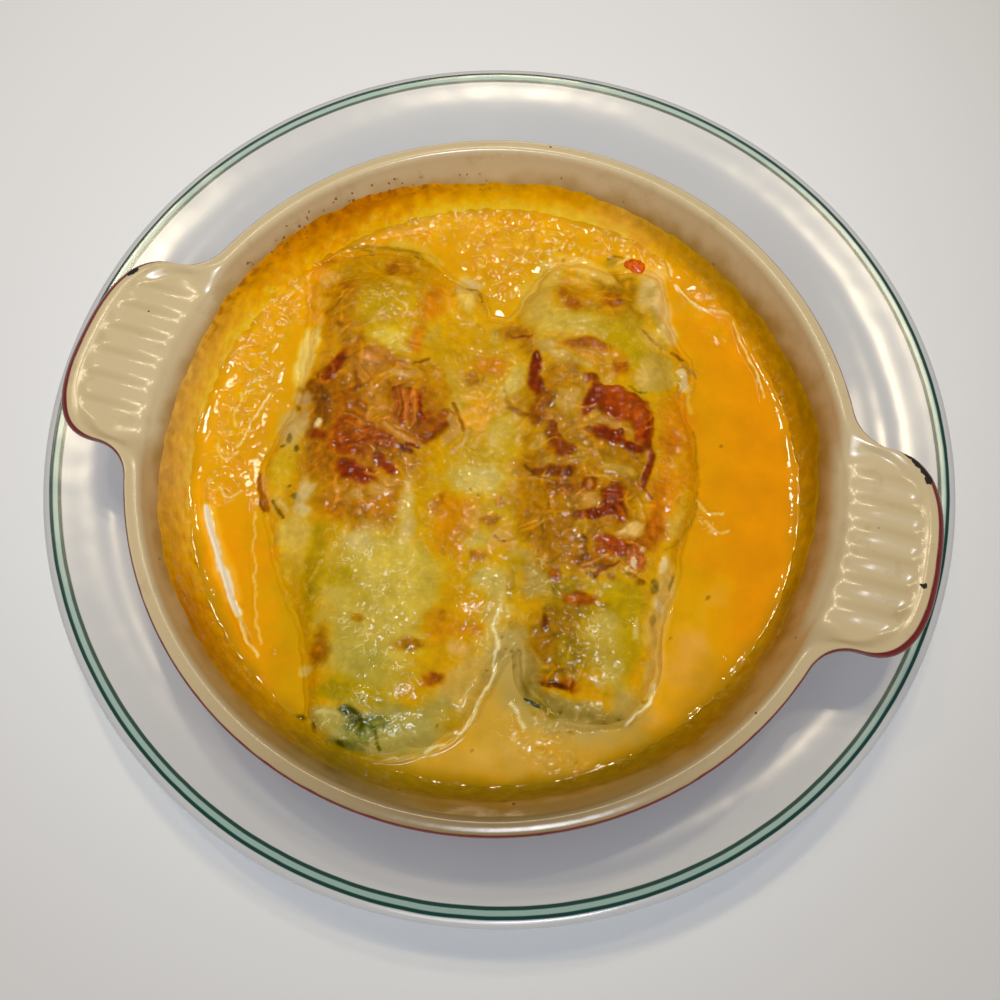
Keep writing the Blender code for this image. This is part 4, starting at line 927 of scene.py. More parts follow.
# Narrow marks: colour, height in millimetres, width, strength, then the points they run through.
STREAKS = [
    # dark lines along the far edge of the left roll: painted shadow
    ("#846a10", -0.3, 1.2, 0.6, [(-68, 49), (-63, 51.8), (-57, 54), (-51, 55.8), (-45, 56.6), (-39, 56)]),
    ("#7a600c", -0.2, 1.0, 0.6, [(-56.5, 53.2), (-53.5, 52.8)]),
    ("#d4b458", 0.5, 2.4, 0.6, [(-48, 58), (-42, 58.8), (-37, 57.2), (-32.5, 54.8)]),
    ("#d8a33c", 0.3, 0.8, 0.8, [(-30, 53.5), (-27, 51)]),
    ("#7c5a18", 0.2, 0.9, 0.7, [(15.4, 70.4), (17, 71.8), (19, 72.2)]),
    ("#e8cc98", 0.3, 0.8, 0.8, [(18.6, 69.6), (20, 71.6), (21, 73.6)]),
    ("#8a6a26", -0.2, 0.6, 0.9, [(-22.5, 49.6), (-19.5, 49.4), (-17.5, 47.2), (-17, 46)]),
    # dark line in the slit on the left roll: painted shadow
    ("#7c4e10", -0.3, 0.7, 0.85, [(-30.5, 21.2), (-28.6, 22.6), (-26.8, 24.4)]),
    ("#8c4a12", 0.5, 1.1, 0.9, [(-45, 14), (-43.5, 11), (-44.6, 8)]),
    ("#c07840", 0.6, 1.0, 0.8, [(-46, 17), (-42, 15), (-40, 12)]),
    ("#a84c10", 0.7, 1.1, 0.9, [(-33.5, 12.5), (-31.5, 8.5), (-30.5, 4)]),
    ("#9a3c0a", 0.7, 1.0, 0.9, [(-31.5, 13), (-29.5, 9), (-28, 3)]),
    ("#d07c3c", 0.8, 0.9, 0.95, [(-30, 12.5), (-28.4, 8), (-26.5, 2.5)]),
    ("#9a3808", 0.7, 0.9, 0.9, [(-28.5, 13.5), (-27.4, 9), (-25.8, 4)]),
    ("#cc7434", 0.8, 0.8, 0.95, [(-27, 13), (-26, 9.5), (-24.4, 5)]),
    ("#7e2606", 0.6, 0.9, 0.9, [(-25.2, 11.5), (-24, 8), (-21.5, 4.5)]),
    ("#c88a4c", 0.9, 1.7, 1.0, [(-32, 1.0), (-28.5, -0.2), (-25, -1.2), (-21.2, -2.4)]),
    ("#97500c", 0.8, 5.0, 0.9, [(-22, 2.0), (-19, 4.0), (-16.2, 7.4)]),
    ("#86400f", 0.6, 1.3, 0.85, [(-20, -0.6), (-17.4, 2.6), (-15.4, 6.6), (-14.6, 9.4)]),
    ("#85441a", 1.0, 1.0, 0.75, [(-16.2, 12.6), (-13.6, 10.4), (-11.8, 7.8), (-10.6, 5.6)]),
    ("#c79452", 0.6, 2.6, 0.9, [(-14.5, 8), (-13, 4.6), (-14.5, 1.6)]),
    ("#d0a060", 0.8, 1.4, 0.9, [(-9.2, 5.8), (-9.4, 2.2), (-11.4, -0.8)]),
    ("#b87848", 0.7, 0.8, 0.85, [(-44, 1.6), (-40, 0.8), (-37, 0.6)]),
    ("#5c1c06", 0.3, 1.0, 0.8, [(-24, -2.4), (-21, -2.9)]),
    ("#8a5c20", -0.2, 0.9, 0.6, [(-2.4, 20.6), (-1.2, 18.4), (0, 17.2)]),
    ("#8c5420", 0.3, 1.3, 0.6, [(0, 16), (3.5, 15), (7, 15.2), (10.5, 14.6), (13, 14)]),
    ("#6a3c10", -0.1, 0.8, 0.8, [(8.8, 0.6), (12, -1.4), (15, -1.8)]),
    ("#c0905a", 0.5, 0.8, 0.8, [(10.5, -2.6), (14, -2.2), (17.5, -2.6)]),
    ("#b07a3e", 0.5, 0.8, 0.7, [(17, 4.6), (20, 5.2), (23, 6.4)]),
    ("#7a3a10", 0.3, 0.8, 0.8, [(0, 39.6), (-3, 38.4), (-5.5, 37.4)]),
    ("#c98a3a", 0.5, 0.8, 0.8, [(13, 38.6), (17, 39.2), (21, 38.8)]),
    ("#75702a", -0.2, 0.7, 0.8, [(31, 31.4), (33.5, 31), (36, 31.6)]),
    ("#8c6230", -0.2, 0.9, 0.6, [(31, 50.6), (34, 47.8), (37, 46)]),
    ("#85562c", 0.1, 1.1, 0.8, [(40.5, 45.6), (43.6, 44.2)]),
    ("#a08060", 0.2, 1.1, 0.7, [(44.4, 42.6), (46.6, 41.2), (48.6, 39.8)]),
    ("#e6cfa4", 0.8, 1.6, 0.95, [(44.2, 40.8), (45.6, 37.6), (46.2, 35)]),
    ("#e0b252", 0.4, 1.2, 0.8, [(46.8, 35.6), (48, 32), (49.6, 28)]),
    # dark olive lines along the right roll's outer edge: painted shadow
    ("#a88016", -0.2, 0.8, 0.6, [(51, 23), (53.5, 17.5), (54.5, 13)]),
    ("#a88a20", -0.2, 0.8, 0.6, [(56.2, 6), (56.8, 1), (56, -4), (53.8, -9.6), (52, -12)]),
    ("#94501c", 0.3, 1.8, 0.9, [(-60.6, -22.5), (-58.6, -27), (-55.6, -31.2)]),
    ("#6f3c10", -0.3, 0.7, 0.9, [(-58.6, -29.2), (-56, -32)]),
    ("#d9a05c", 0.5, 1.2, 0.8, [(-59.6, -22), (-57.4, -26.2), (-54.8, -29)]),
    ("#74521c", -0.3, 0.9, 0.9, [(-54.8, -28.2), (-53, -30.2), (-50.6, -31.8)]),
    ("#e2c888", 0.4, 1.2, 0.7, [(-53, -27.6), (-50.4, -29.6)]),
    ("#cda24c", 0.3, 0.8, 0.7, [(-36.6, -40.6), (-37, -47)]),
    ("#5c4a1a", -0.2, 0.8, 0.85, [(-24.6, -81), (-22.4, -83.2), (-20.6, -84.6)]),
    ("#cdbf86", 0.3, 1.0, 0.6, [(-24.5, -78.5), (-21.5, -77.2), (-19, -77.4)]),
    ("#b8ab78", 0.3, 0.7, 0.7, [(-12, -81.6), (-8, -82.6), (-4, -82.4)]),
    ("#48501e", -0.1, 0.9, 0.8, [(-11, -77.6), (-8, -79.4), (-6.4, -81.8)]),
    ("#7a5020", 0, 0.7, 0.85, [(6.5, -21), (9, -22)]),
    ("#d09458", 0.5, 0.9, 0.7, [(36, -18), (33.5, -21), (31, -22.5)]),
    ("#7c3408", 0.4, 0.8, 0.8, [(40, -19), (37, -21.6), (34.5, -25)]),
    ("#c88038", 0.5, 0.7, 0.7, [(41, 0), (43.5, -3), (44.5, -7)]),
    ("#a84a0e", 0.5, 0.8, 0.8, [(44.6, 0.6), (42.6, 2.6), (40, 4)]),
    ("#caa050", 0.4, 0.8, 0.8, [(26, 1.6), (30, 3.2), (34, 2.6)]),
    # painted highlights: thin pale glints along folds in the sauce's skin, the first with a wider soft halo
    ("#ffc878", 0, 4.4, 0.5, [(-70.6, -36), (-66, -42.5), (-61, -49), (-55.6, -56)]),
    ("#fff0f4", 0, 1.7, 0.85, [(-71.6, -35), (-67, -41.5), (-62, -48), (-56, -56), (-52.5, -60)]),
    ("#ffe0a8", 0, 0.8, 0.8, [(-52.5, -60), (-48, -65.5), (-43.5, -69)]),
    ("#f8cf80", 0, 0.6, 0.75, [(-58, -33), (-55, -42), (-51, -51), (-47.5, -59), (-44, -66)]),
    ("#fff0cc", 0, 0.7, 0.8, [(12.4, -40), (12.6, -45), (15, -50), (15.6, -55), (16, -59), (14.4, -62),
        (14, -68), (12, -73.4)]),
    ("#fff4d4", 0, 0.7, 0.9, [(21.4, -62), (24.4, -64.6), (27, -66.8)]),
    ("#fff0d0", 0, 0.7, 0.85, [(56.4, -48), (55, -54), (51.6, -59.4)]),
    ("#fff0cc", 0, 0.6, 0.7, [(-10, -85), (-5, -84.6), (-1, -83)]),
    ("#fff0cc", 0, 0.6, 0.7, [(5, -80), (6.6, -78.4), (9, -77)]),
    ("#fff2d8", 0, 0.6, 0.8, [(24, 79.5), (31, 76.4), (34.6, 70.5)]),
    ("#ffe8c0", 0, 0.7, 0.8, [(37, 67.6), (41, 64), (47, 62), (53, 61.6)]),
    ("#ffe8c0", 0, 0.7, 0.85, [(55.6, 60), (60, 52.4), (65.4, 45.2), (68.4, 39)]),
    ("#ffe8b8", 0, 0.7, 0.8, [(-66.6, 1), (-68, -8), (-69, -17)]),
    ("#ffe0a0", 0, 0.7, 0.7, [(-74.5, -1), (-73.5, -6), (-72.5, -11)]),
    ("#ffe0a0", 0, 0.7, 0.75, [(-70, -28.4), (-67, -31), (-64, -28.8)]),
    ("#ffe0a0", 0, 0.7, 0.7, [(-75, -17), (-72, -21), (-68.4, -18.4)]),
    ("#ffe0a8", 0, 0.6, 0.7, [(57, 4), (60, 1), (64, 2)]),
    ("#ffe0a8", 0, 0.6, 0.7, [(60, -2), (64, -4), (67, -3)]),
]

SPECKS = [
    (-4, -10.8, 0.5), (-1.4, -11.4, 0.5), (19, -22, 0.4), (49.5, -59, 0.5), (60, 21, 0.6),
    (65.2, -22.2, 0.7), (-58, 59, 0.6), (3.2, 66.2, 0.5), (0.5, 69.4, 0.6), (10.4, 76, 0.6),
    (17, -49.6, 0.45), (19, -49.5, 0.45), (13.6, -56.2, 0.45), (20.6, -53.6, 0.5), (54.4, -52.6, 0.5),
    (15, -47.4, 0.5), (6, -72.4, 0.4), (35, -60.8, 0.5), (41.8, -71.8, 0.4), (15.6, -76, 0.4),
    (57.8, -35.6, 0.4), (-52, -23, 0.4),
]


def near_path(x, y, points, step, reach):
    """Places near a smooth path through points in mm, and how far each is from every step of it."""
    path = np.array(smooth_curve([np.array(p) * mm for p in points], step))
    low, high = path.min(axis=0) - reach, path.max(axis=0) + reach
    near = np.nonzero((x > low[0]) & (x < high[0]) & (y > low[1]) & (y < high[1]))[0]
    return near, np.hypot(x[near, None] - path[:, 0], y[near, None] - path[:, 1])


def painted(x, y):
    """Colour, as an sRGB triple, and added height of the baked food at every place on the plan."""
    drift_x = 0.75 * mm * wander(x, y, 5.0 * mm, 301) + 0.3 * mm * wander(x, y, 1.8 * mm, 302)
    drift_y = 0.75 * mm * wander(x, y, 5.0 * mm, 303) + 0.3 * mm * wander(x, y, 1.8 * mm, 304)
    ragged = 0.2 * lumps(x, y, 5.0 * mm, 305, 4)
    x, y = x + drift_x, y + drift_y
    tint = np.tile(np.array([0xE2, 0x9B, 0x10]) / 255.0, (len(x), 1))
    rise = np.zeros_like(x)
    for code, height, soft, rows in GLAZES:
        target = np.array(srgb(code))
        for row in rows:
            reach = (max(row[2], row[3]) * (1.6 + soft) + 1.0) * mm
            near = np.nonzero((np.abs(x - row[0] * mm) < reach) & (np.abs(y - row[1] * mm) < reach))[0]
            share = patch_share(x[near], y[near], row, soft, ragged[near])
            tint[near] += share[:, None] * (target - tint[near])
            rise[near] += share * height * mm
    for code, height, width, strength, points in STREAKS:
        target = np.array(srgb(code))
        near, gaps = near_path(x, y, points, 0.5 * mm, 3 * mm)
        gap = gaps.min(axis=1) / (0.5 * width * mm) + 0.5 * ragged[near]
        tint[near] += (strength * smooth_step(1.5, 0.6, gap))[:, None] * (target - tint[near])
        rise[near] += height * mm * np.sqrt(np.clip(1.0 - (gap / 1.3) ** 2, 0, 1))
    for at_x, at_y, size in SPECKS:
        away = np.hypot(x - at_x * mm, y - at_y * mm) / (size * mm)
        tint += (0.45 * smooth_step(1.2, 0.5, away))[:, None] * (np.array([0.30, 0.21, 0.05]) - tint)
    return tint, rise


# The wet skin reflects a little of the room everywhere; this much white is taken off each colour,
# and the light lost in the film of oil is given back.
SHINE_VEIL = np.array([0.003, 0.005, 0.022])
ROOM_LIFT = np.array([1.16, 1.13, 0.95])


def vertex_paint(item, tint):
    """Store an sRGB colour on every vertex, as linear light, for materials to read."""
    linear = np.where(tint <= 0.04045, tint / 12.92, ((np.clip(tint, 0, 1) + 0.055) / 1.055) ** 2.4)
    linear = np.clip(linear * ROOM_LIFT - SHINE_VEIL, 0.0, 1.0)
    layer = item.data.attributes.new("baked", "FLOAT_COLOR", "POINT")
    opaque = np.column_stack([linear, np.ones(len(linear))])
    layer.data.foreach_set("color", opaque.astype(np.float32).ravel())


def close_below(item, depth, inward=1.0):
    """Close an open sheet with a wall down from its border and a flat underside."""
    bpy.context.view_layer.objects.active = item
    item.select_set(True)
    bpy.ops.object.mode_set(mode="EDIT")
    bpy.ops.mesh.select_mode(type="EDGE")
    mesh = bmesh.from_edit_mesh(item.data)
    for part in (mesh.verts, mesh.edges, mesh.faces):
        for element in part:
            element.select = False
    for edge in mesh.edges:
        edge.select = edge.is_boundary
    mesh.select_flush(True)
    bmesh.update_edit_mesh(item.data)
    bpy.ops.mesh.extrude_edges_move()
    mesh = bmesh.from_edit_mesh(item.data)
    for vert in mesh.verts:
        if vert.select:
            vert.co.z = depth
            vert.co.x = dish_x + (vert.co.x - dish_x) * inward
            vert.co.y = dish_y + (vert.co.y - dish_y) * inward
    bmesh.update_edit_mesh(item.data)
    bpy.ops.mesh.edge_face_add()
    bpy.ops.mesh.select_all(action="SELECT")
    bpy.ops.mesh.normals_make_consistent(inside=False)
    bpy.ops.object.mode_set(mode="OBJECT")
    bpy.ops.object.shade_smooth()
    deselect()


def face_outwards():
    """Turn every face of the active piece outwards."""
    bpy.ops.object.mode_set(mode="EDIT")
    bpy.ops.mesh.select_all(action="SELECT")
    bpy.ops.mesh.normals_make_consistent(inside=False)
    bpy.ops.object.mode_set(mode="OBJECT")


DISC_STEPS = 300
bpy.ops.mesh.primitive_grid_add(x_subdivisions=DISC_STEPS, y_subdivisions=DISC_STEPS, size=2.0)
sauce = bpy.context.object
grid = vertex_array(sauce)
u, v = grid[:, 0].copy(), grid[:, 1].copy()
x, y = u * np.sqrt(1.0 - 0.5 * v * v), v * np.sqrt(1.0 - 0.5 * u * u)
spread = WALL_AT_SAUCE * np.maximum(np.hypot(x, y), 1e-6) ** -0.2
x, y = x * spread, y * spread
from_wall = WALL_AT_SAUCE - np.hypot(x, y)
inside = inside_outline(x, y) + 0.8 * mm * lumps(x, y, 7 * mm, 45, 2)
skin = food_skin(x, y, inside)
stands = smooth_step(-1.0 * mm, 1.0 * mm, inside)
plan_x, plan_y = read_place(x, y, SAUCE_LEVEL + (skin - SAUCE_LEVEL) * stands)
tint, rise = painted(plan_x, plan_y)

# Frothy stretches: (x, y, half length, half width, turn, strength), on the same plan.
FROTH = [
    (-75, 24, 7, 16, -15, 1.0), (-72, 0, 5, 14, 0, 1.0), (-42, 70, 18, 8, 25, 1.0),
    (-68, 50, 9, 8, 45, 0.8), (-12, 70, 18, 9, 0, 1.0), (20, 76, 12, 6, 0, 0.8), (30, -68, 10, 6, 0, 0.5),
    (34, -72, 10, 3, 10, 0.5), (-66, 58, 12, 5, 50, 0.7), (46, 64, 6, 4, -30, 0.4),
    (60, -2, 4, 2.5, 0, 0.4), (52, 55, 4, 3, 0, 0.5), (-70, -28, 5, 4, 0, 0.6), (-72, -18, 4, 4, 0, 0.6),
    (-16, 55, 9, 9, 0, 0.7),
]
froth = patches(plan_x, plan_y, FROTH, 0.5, 0.35 * wander(x, y, 7 * mm, 31))
height = SAUCE_LEVEL + 1.0 * mm * np.exp(-from_wall / (1.8 * mm))
height += 0.30 * mm * wander(x, y, 20 * mm, 41) + 0.12 * mm * wander(x, y, 9 * mm, 42)
height += froth * (0.45 * mm * lumps(x, y, 4.4 * mm, 43, 2)
                   + 0.28 * mm * np.abs(lumps(x, y, 2.4 * mm, 44, 2)))

# Folds where the skin of the sauce has wrinkled: width and height in mm, then points on the plan.
FOLDS = [
    (2.6, 0.9, [(-75, -28), (-70, -38), (-64, -46), (-55, -58), (-45, -69)]),
    (1.8, 0.5, [(-61, -30), (-55, -44), (-49, -57), (-46, -66)]),
    (2.0, 0.6, [(-66.5, 2), (-68, -8), (-69, -18)]),
    (1.8, 0.5, [(-74.5, -1), (-73.5, -6), (-72.5, -11)]),
    (2.0, 0.6, [(-71, 15), (-69.5, 9)]),
    (1.8, 0.6, [(-70, -28), (-67, -31), (-64, -28.5)]),
    (1.8, 0.6, [(-75, -17), (-72, -21), (-68, -18)]),
    (2.0, 0.7, [(24, 79.5), (31, 76), (35, 69.5)]),
    (2.0, 0.7, [(37, 67.6), (41, 64), (47, 62), (53, 61.6)]),
    (2.2, 0.8, [(55, 60.5), (60, 52), (66, 44.5), (68.5, 38)]),
    (1.8, 0.6, [(13.5, -38), (12.8, -45), (15, -50)]),
    (1.8, 0.6, [(15.5, -52), (16.5, -57), (14.8, -62), (12, -73.5), (6, -80)]),
    (1.8, 0.6, [(22, -61), (27, -67)]),
    (1.8, 0.6, [(57.5, -47), (55.5, -55), (51, -60)]),
    (1.6, 0.4, [(56.5, -26), (57, -42)]),
    (2.0, 0.6, [(-9, 73), (-5, 75), (0, 75.5)]),
    (1.6, 0.5, [(-8, 66.5), (-3, 70)]),
    (1.8, 0.5, [(-52, 62), (-48, 64), (-44, 62)]),
    (1.8, 0.5, [(-40, 71), (-36, 69.5), (-33, 72)]),
    (1.8, 0.5, [(57, 4), (60, 1), (64, 2)]),
    (1.8, 0.5, [(60, -2), (64, -4), (67, -3)]),
    (1.8, 0.6, [(-10, -86), (-2, -84), (5, -80)]),
]
FOLD_STEP = 0.6
for width, tall, points in FOLDS:
    near, gaps = near_path(plan_x, plan_y, points, FOLD_STEP * mm, width * mm)
    nearest = gaps.argmin(axis=1)
    end = np.minimum(nearest, gaps.shape[1] - 1 - nearest) * FOLD_STEP
    gap = gaps.min(axis=1) / (0.5 * width * mm)
    fold = tall * mm * np.cos(0.5 * math.pi * np.clip(gap, 0, 1)) ** 2 * np.clip(0.25 + end / 4.0, 0, 1)
    fold = fold * smooth_step(0.0, 4.0 * mm, from_wall[near])
    height[near] += fold
    rise[near] += 2.0 * fold

# Bubbles that rose in the oven: small domes with a dimple round each.
draw = np.random.default_rng(7)
for _ in range(700):
    spot = draw.uniform(-1.0, 1.0, 2) * WALL_AT_SAUCE
    size = draw.choice([0.8, 1.1, 1.5, 2.0], p=[0.4, 0.3, 0.2, 0.1]) * mm
    keep = draw.uniform()
    if np.hypot(*spot) > WALL_AT_SAUCE - 2 * mm:
        continue
    here = patches(*[np.array([p]) for p in read_place(spot[0], spot[1], SAUCE_LEVEL)], FROTH, 0.5)[0]
    if keep > 0.03 + 0.97 * here:
        continue
    near = np.nonzero((np.abs(x - spot[0]) < 2 * size) & (np.abs(y - spot[1]) < 2 * size))[0]
    away = np.hypot(x[near] - spot[0], y[near] - spot[1]) / size
    dome = 0.34 * np.sqrt(np.clip(1.0 - away ** 2, 0, 1))
    height[near] += size * (dome - 0.10 * np.exp(-((away - 1.15) / 0.25) ** 2))
covered = smooth_step(0.0, 4.0 * mm, inside)
clinging = skin + (0.22 * mm * lumps(x, y, 4 * mm, 46, 3) + 0.5 * rise) * smooth_step(0.0, 3 * mm, inside)
clinging -= 1.2 * mm * covered
height = np.where(inside > 0, soft_larger(height, clinging, 1.4 * mm), height)
set_vertices(sauce, np.stack([dish_x + x, dish_y + y, dish_base + height], axis=1))

# Oil gathers by the wall and goes olive, painted darker towards the near side as painted shade; froth is
# speckled paler with painted glints.
oil = smooth_step(5 * mm, 0.0, from_wall + 1.6 * mm * lumps(x, y, 12 * mm, 53))
# Darker towards the near side: painted shade.
near_sauce_shade = smooth_step(10 * mm, -60 * mm, y)[:, None]
oil_colour_and_near_shade = np.array([0.78, 0.56, 0.02]) - np.array([0.12, 0.05, -0.06]) * near_sauce_shade
tint += (0.7 * oil)[:, None] * (oil_colour_and_near_shade - tint)
deep = 0.45 * froth * smooth_step(0.05, 0.6, lumps(x, y, 4 * mm, 57, 3))
tint += deep[:, None] * (np.array([0.84, 0.54, 0.02]) - tint)
# Pale speckles on the froth: painted glints.
froth_painted_glints = 0.3 * froth * smooth_step(-0.1, 0.8, lumps(x, y, 3 * mm, 54, 3))
tint += froth_painted_glints[:, None] * (np.array([0.98, 0.78, 0.24]) - tint)
tint *= (1.0 + 0.035 * lumps(x, y, 9 * mm, 55, 3))[:, None]
vertex_paint(sauce, np.clip(tint, 0, 1))
vertex_value(sauce, "foam", np.clip(froth + 0.15 * stands, 0, 1))
vertex_value(sauce, "lively", 0.25 * froth + 0.35 * stands)
close_below(sauce, dish_base + FLOOR_AT + 0.5 * mm, inward=0.78)
sauce = in_place(sauce, "baked_sauce")


def wet_food(name, coat_roughness, grain_size, grain_height, soft_size, soft_height, blotch):
    """A wet baked food: its painted colour, finely mottled, under a thin clear film of oil.

    The food itself is only softly uneven; the oil film follows every small bubble and grain. Where
    it is toasted ("lively") the mottling is stronger; foam shows pale bubble walls, partly painted glints.
    """
    material, tree, output = new_material(name)
    place = add_node(tree, "TexCoord").outputs["Object"]
    baked = add_node(tree, "Attribute", attribute_name="baked").outputs["Color"]
    lively = add_node(tree, "Attribute", attribute_name="lively").outputs["Fac"]
    foamed = add_node(tree, "Attribute", attribute_name="foam").outputs["Fac"]
    fine = add_node(tree, "TexNoise", {"Vector": place, "Scale": 1000 / 2.2, "Detail": 4.0, "Roughness": 0.55,
                                       "Distortion": 0.6})
    swing = add_node(tree, "MapRange", {"Value": fine.outputs["Fac"], "From Min": 0.3, "From Max": 0.7,
                                        "To Min": -1.0, "To Max": 1.0})
    reach = add_node(tree, "MapRange", {"Value": lively, "To Min": blotch, "To Max": blotch + 0.12})
    value = add_node(tree, "Math", {0: swing.outputs["Result"], 1: reach.outputs["Result"], 2: 1.0},
                     operation="MULTIPLY_ADD")
    mottled = add_node(tree, "HueSaturation", {"Color": baked, "Value": value.outputs["Value"]})
    walls = add_node(tree, "TexNoise", {"Vector": place, "Scale": 1000 / 5.5, "Detail": 1.0,
                                        "Distortion": 1.8})
    from_wall = add_node(tree, "Math", {0: walls.outputs["Fac"], 1: 0.5}, operation="SUBTRACT")
    gap = add_node(tree, "Math", {0: from_wall.outputs["Value"]}, operation="ABSOLUTE")
    line = add_node(tree, "MapRange", {"Value": gap.outputs["Value"], "From Min": 0.008, "From Max": 0.032,
                                       "To Min": 1.0, "To Max": 0.0}, interpolation_type="SMOOTHSTEP")
    pieces = add_node(tree, "TexNoise", {"Vector": place, "Scale": 1000 / 2.8, "Detail": 1.0})
    broken_up = add_node(tree, "MapRange", {"Value": pieces.outputs["Fac"], "From Min": 0.46,
                                            "From Max": 0.54})
    curl = add_node(tree, "Math", {0: line.outputs["Result"], 1: broken_up.outputs["Result"]},
                    operation="MULTIPLY")
    bubble_wall = add_node(tree, "Math", {0: curl.outputs["Value"], 1: foamed}, operation="MULTIPLY")
    # Pale bubble walls on the foam, laid on as pale dashes that are partly painted glints.
    pale_walls_and_painted_glints = add_node(tree, "Math", {0: bubble_wall.outputs["Value"], 1: 0.8}, operation="MULTIPLY")
    surface = mixed(tree, pale_walls_and_painted_glints.outputs["Value"], mottled.outputs["Color"], colour("#ffe9a0"))
    soft = add_node(tree, "TexNoise", {"Vector": place, "Scale": 1000 / soft_size, "Detail": 2.0})
    soft_bump = add_node(tree, "Bump", {"Height": soft.outputs["Fac"], "Strength": 0.5,
                                        "Distance": soft_height})
    grain = add_node(tree, "TexNoise", {"Vector": place, "Scale": 1000 / grain_size, "Detail": 2.5,
                                        "Roughness": 0.5})
    bubbly = add_node(tree, "Math", {0: bubble_wall.outputs["Value"], 1: 0.6, 2: grain.outputs["Fac"]},
                      operation="MULTIPLY_ADD")
    film_bump = add_node(tree, "Bump", {"Height": bubbly.outputs["Value"], "Strength": 0.75,
                                        "Distance": grain_height, "Normal": soft_bump.outputs["Normal"]})
    shader = add_node(tree, "BsdfPrincipled", {
        "Base Color": surface, "Roughness": 0.5, "Specular IOR Level": 0.0,
        "Normal": soft_bump.outputs["Normal"], "Coat Weight": 1.0, "Coat Roughness": coat_roughness,
        "Coat IOR": 1.34, "Coat Normal": film_bump.outputs["Normal"]})
    tree.links.new(shader.outputs["BSDF"], output.inputs["Surface"])
    return material


# Oily tomato cream: opaque, deeply coloured and wet, with a fine grain where it has boiled.
baked_sauce_finish = wet_food("oily tomato cream sauce", 0.06, 4.0, 0.16 * mm, 6.0, 0.2 * mm, 0.02)
sauce.data.materials.append(baked_sauce_finish)
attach(sauce, "root")
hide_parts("sauce")

# The film of sauce that boiled up the wall and baked on: golden where it is thick, olive or brown
# where thin, with a ragged crust. Stops (angle, top, colour low down, colour at the top edge).
FILM = [
    (0, 31, "#b88a12", "#a8841e"), (12, 33, "#b8860c", "#a07c1c"), (22, 35.5, "#b4820c", "#987620"),
    (38, 33, "#b8840c", "#a07c20"), (60, 33, "#cc9414", "#a88220"), (80, 34, "#f0b848", "#c89a40"),
    (92, 35, "#f8c040", "#c89010"), (110, 34, "#f6bc38", "#c8960c"), (120, 36, "#f0b830", "#c48410"),
    (132, 38, "#ecb020", "#b87010"), (150, 38, "#e8a808", "#c8860c"), (162, 37.5, "#f2bc34", "#cc9428"),
    (180, 35.5, "#f0b840", "#d4aa58"), (200, 37, "#e6b650", "#cca45c"), (214, 38, "#dca828", "#cc9c30"),
    (224, 37, "#cf9818", "#b07418"), (245, 36.5, "#c49820", "#b48c38"), (258, 37, "#ac9428", "#9a8038"),
    (280, 33, "#a08828", "#8c7430"), (300, 32, "#9c8428", "#8c7430"), (320, 36, "#a08010", "#967428"),
    (335, 32, "#b48a20", "#a08240"), (350, 30, "#b08420", "#987630"),
]
FILM_ROWS = 64
WALL_HEIGHTS = [r[1] for r in inner_wall[::-1]]
WALL_RADII = [r[0] for r in inner_wall[::-1]]
bpy.ops.mesh.primitive_circle_add(vertices=FILM_ROWS, radius=0.25, location=(1.0, 0.0, 0.0),
                                  rotation=(math.radians(90), 0.0, 0.0))
film = bpy.context.object
bpy.ops.object.transform_apply(location=True, rotation=True, scale=True)
ring = film.modifiers.new("ring", "SCREW")
ring.steps = ring.render_steps = 600
ring.use_merge_vertices = True
ring.merge_threshold = 0.0001
bpy.ops.object.modifier_apply(modifier=ring.name)
points = vertex_array(film)
angle = np.arctan2(points[:, 1], points[:, 0])
minor = np.arctan2(points[:, 2], 1.0 - np.hypot(points[:, 0], points[:, 1]))
front = np.abs(minor) <= math.radians(137.0)
share = np.clip(0.5 + minor / math.radians(274.0), 0.0, 1.0)
behind = (math.pi - np.abs(minor)) * np.sign(minor) / math.radians(43.0)
share = np.where(front, share, 0.5 + 0.5 * behind)
stops = np.array([row[0] for row in FILM], float)
degrees = np.degrees(angle) % 360.0
film_top = np.interp(degrees, stops, [row[1] for row in FILM], period=360.0) * mm


def wall_lumps(angle, height, size, seed, layers=3):
    """Layered wander over the wall, joined up where its two ends meet."""
    opposite = np.mod(angle, 2.0 * math.pi) - math.pi
    share = smooth_step(2.4, 1.0, np.abs(angle))
    return (lumps(angle * 89 * mm, height, size, seed, layers) * share
            + lumps(opposite * 89 * mm, height, size, seed + 1, layers) * (1.0 - share))


film_top += 1.1 * mm * wall_lumps(angle, 0 * angle, 9 * mm, 501, 5)
film_low = SAUCE_LEVEL - 1.5 * mm
height = film_low + share * (film_top + 1.2 * mm - film_low)
up = (height - SAUCE_LEVEL) / (film_top - SAUCE_LEVEL)
thick = (0.16 + 1.2 * np.exp(-np.clip(up, 0, None) / 0.28)) * mm
thick *= 1.0 + 0.4 * wall_lumps(angle, height, 3 * mm, 505)
thick = thick * smooth_step(1.04, 0.80, up) - 0.25 * mm * smooth_step(0.94, 1.06, up)
wall_radius = np.interp(height, WALL_HEIGHTS, WALL_RADII)
radius = np.where(front, wall_radius - thick, wall_radius + 0.25 * mm)
set_vertices(film, np.stack([dish_x + radius * np.cos(angle), dish_y + radius * np.sin(angle),
                             dish_base + height], axis=1))
low_tint = np.array([srgb(row[2]) for row in FILM])
high_tint = np.array([srgb(row[3]) for row in FILM])
low_tint = np.stack([np.interp(degrees, stops, low_tint[:, k], period=360.0) for k in range(3)], axis=1)
high_tint = np.stack([np.interp(degrees, stops, high_tint[:, k], period=360.0) for k in range(3)], axis=1)
climb = smooth_step(0.0, 0.9, up + 0.25 * wall_lumps(angle, height, 5 * mm, 511))[:, None]
tint = low_tint * (1 - climb) + high_tint * climb
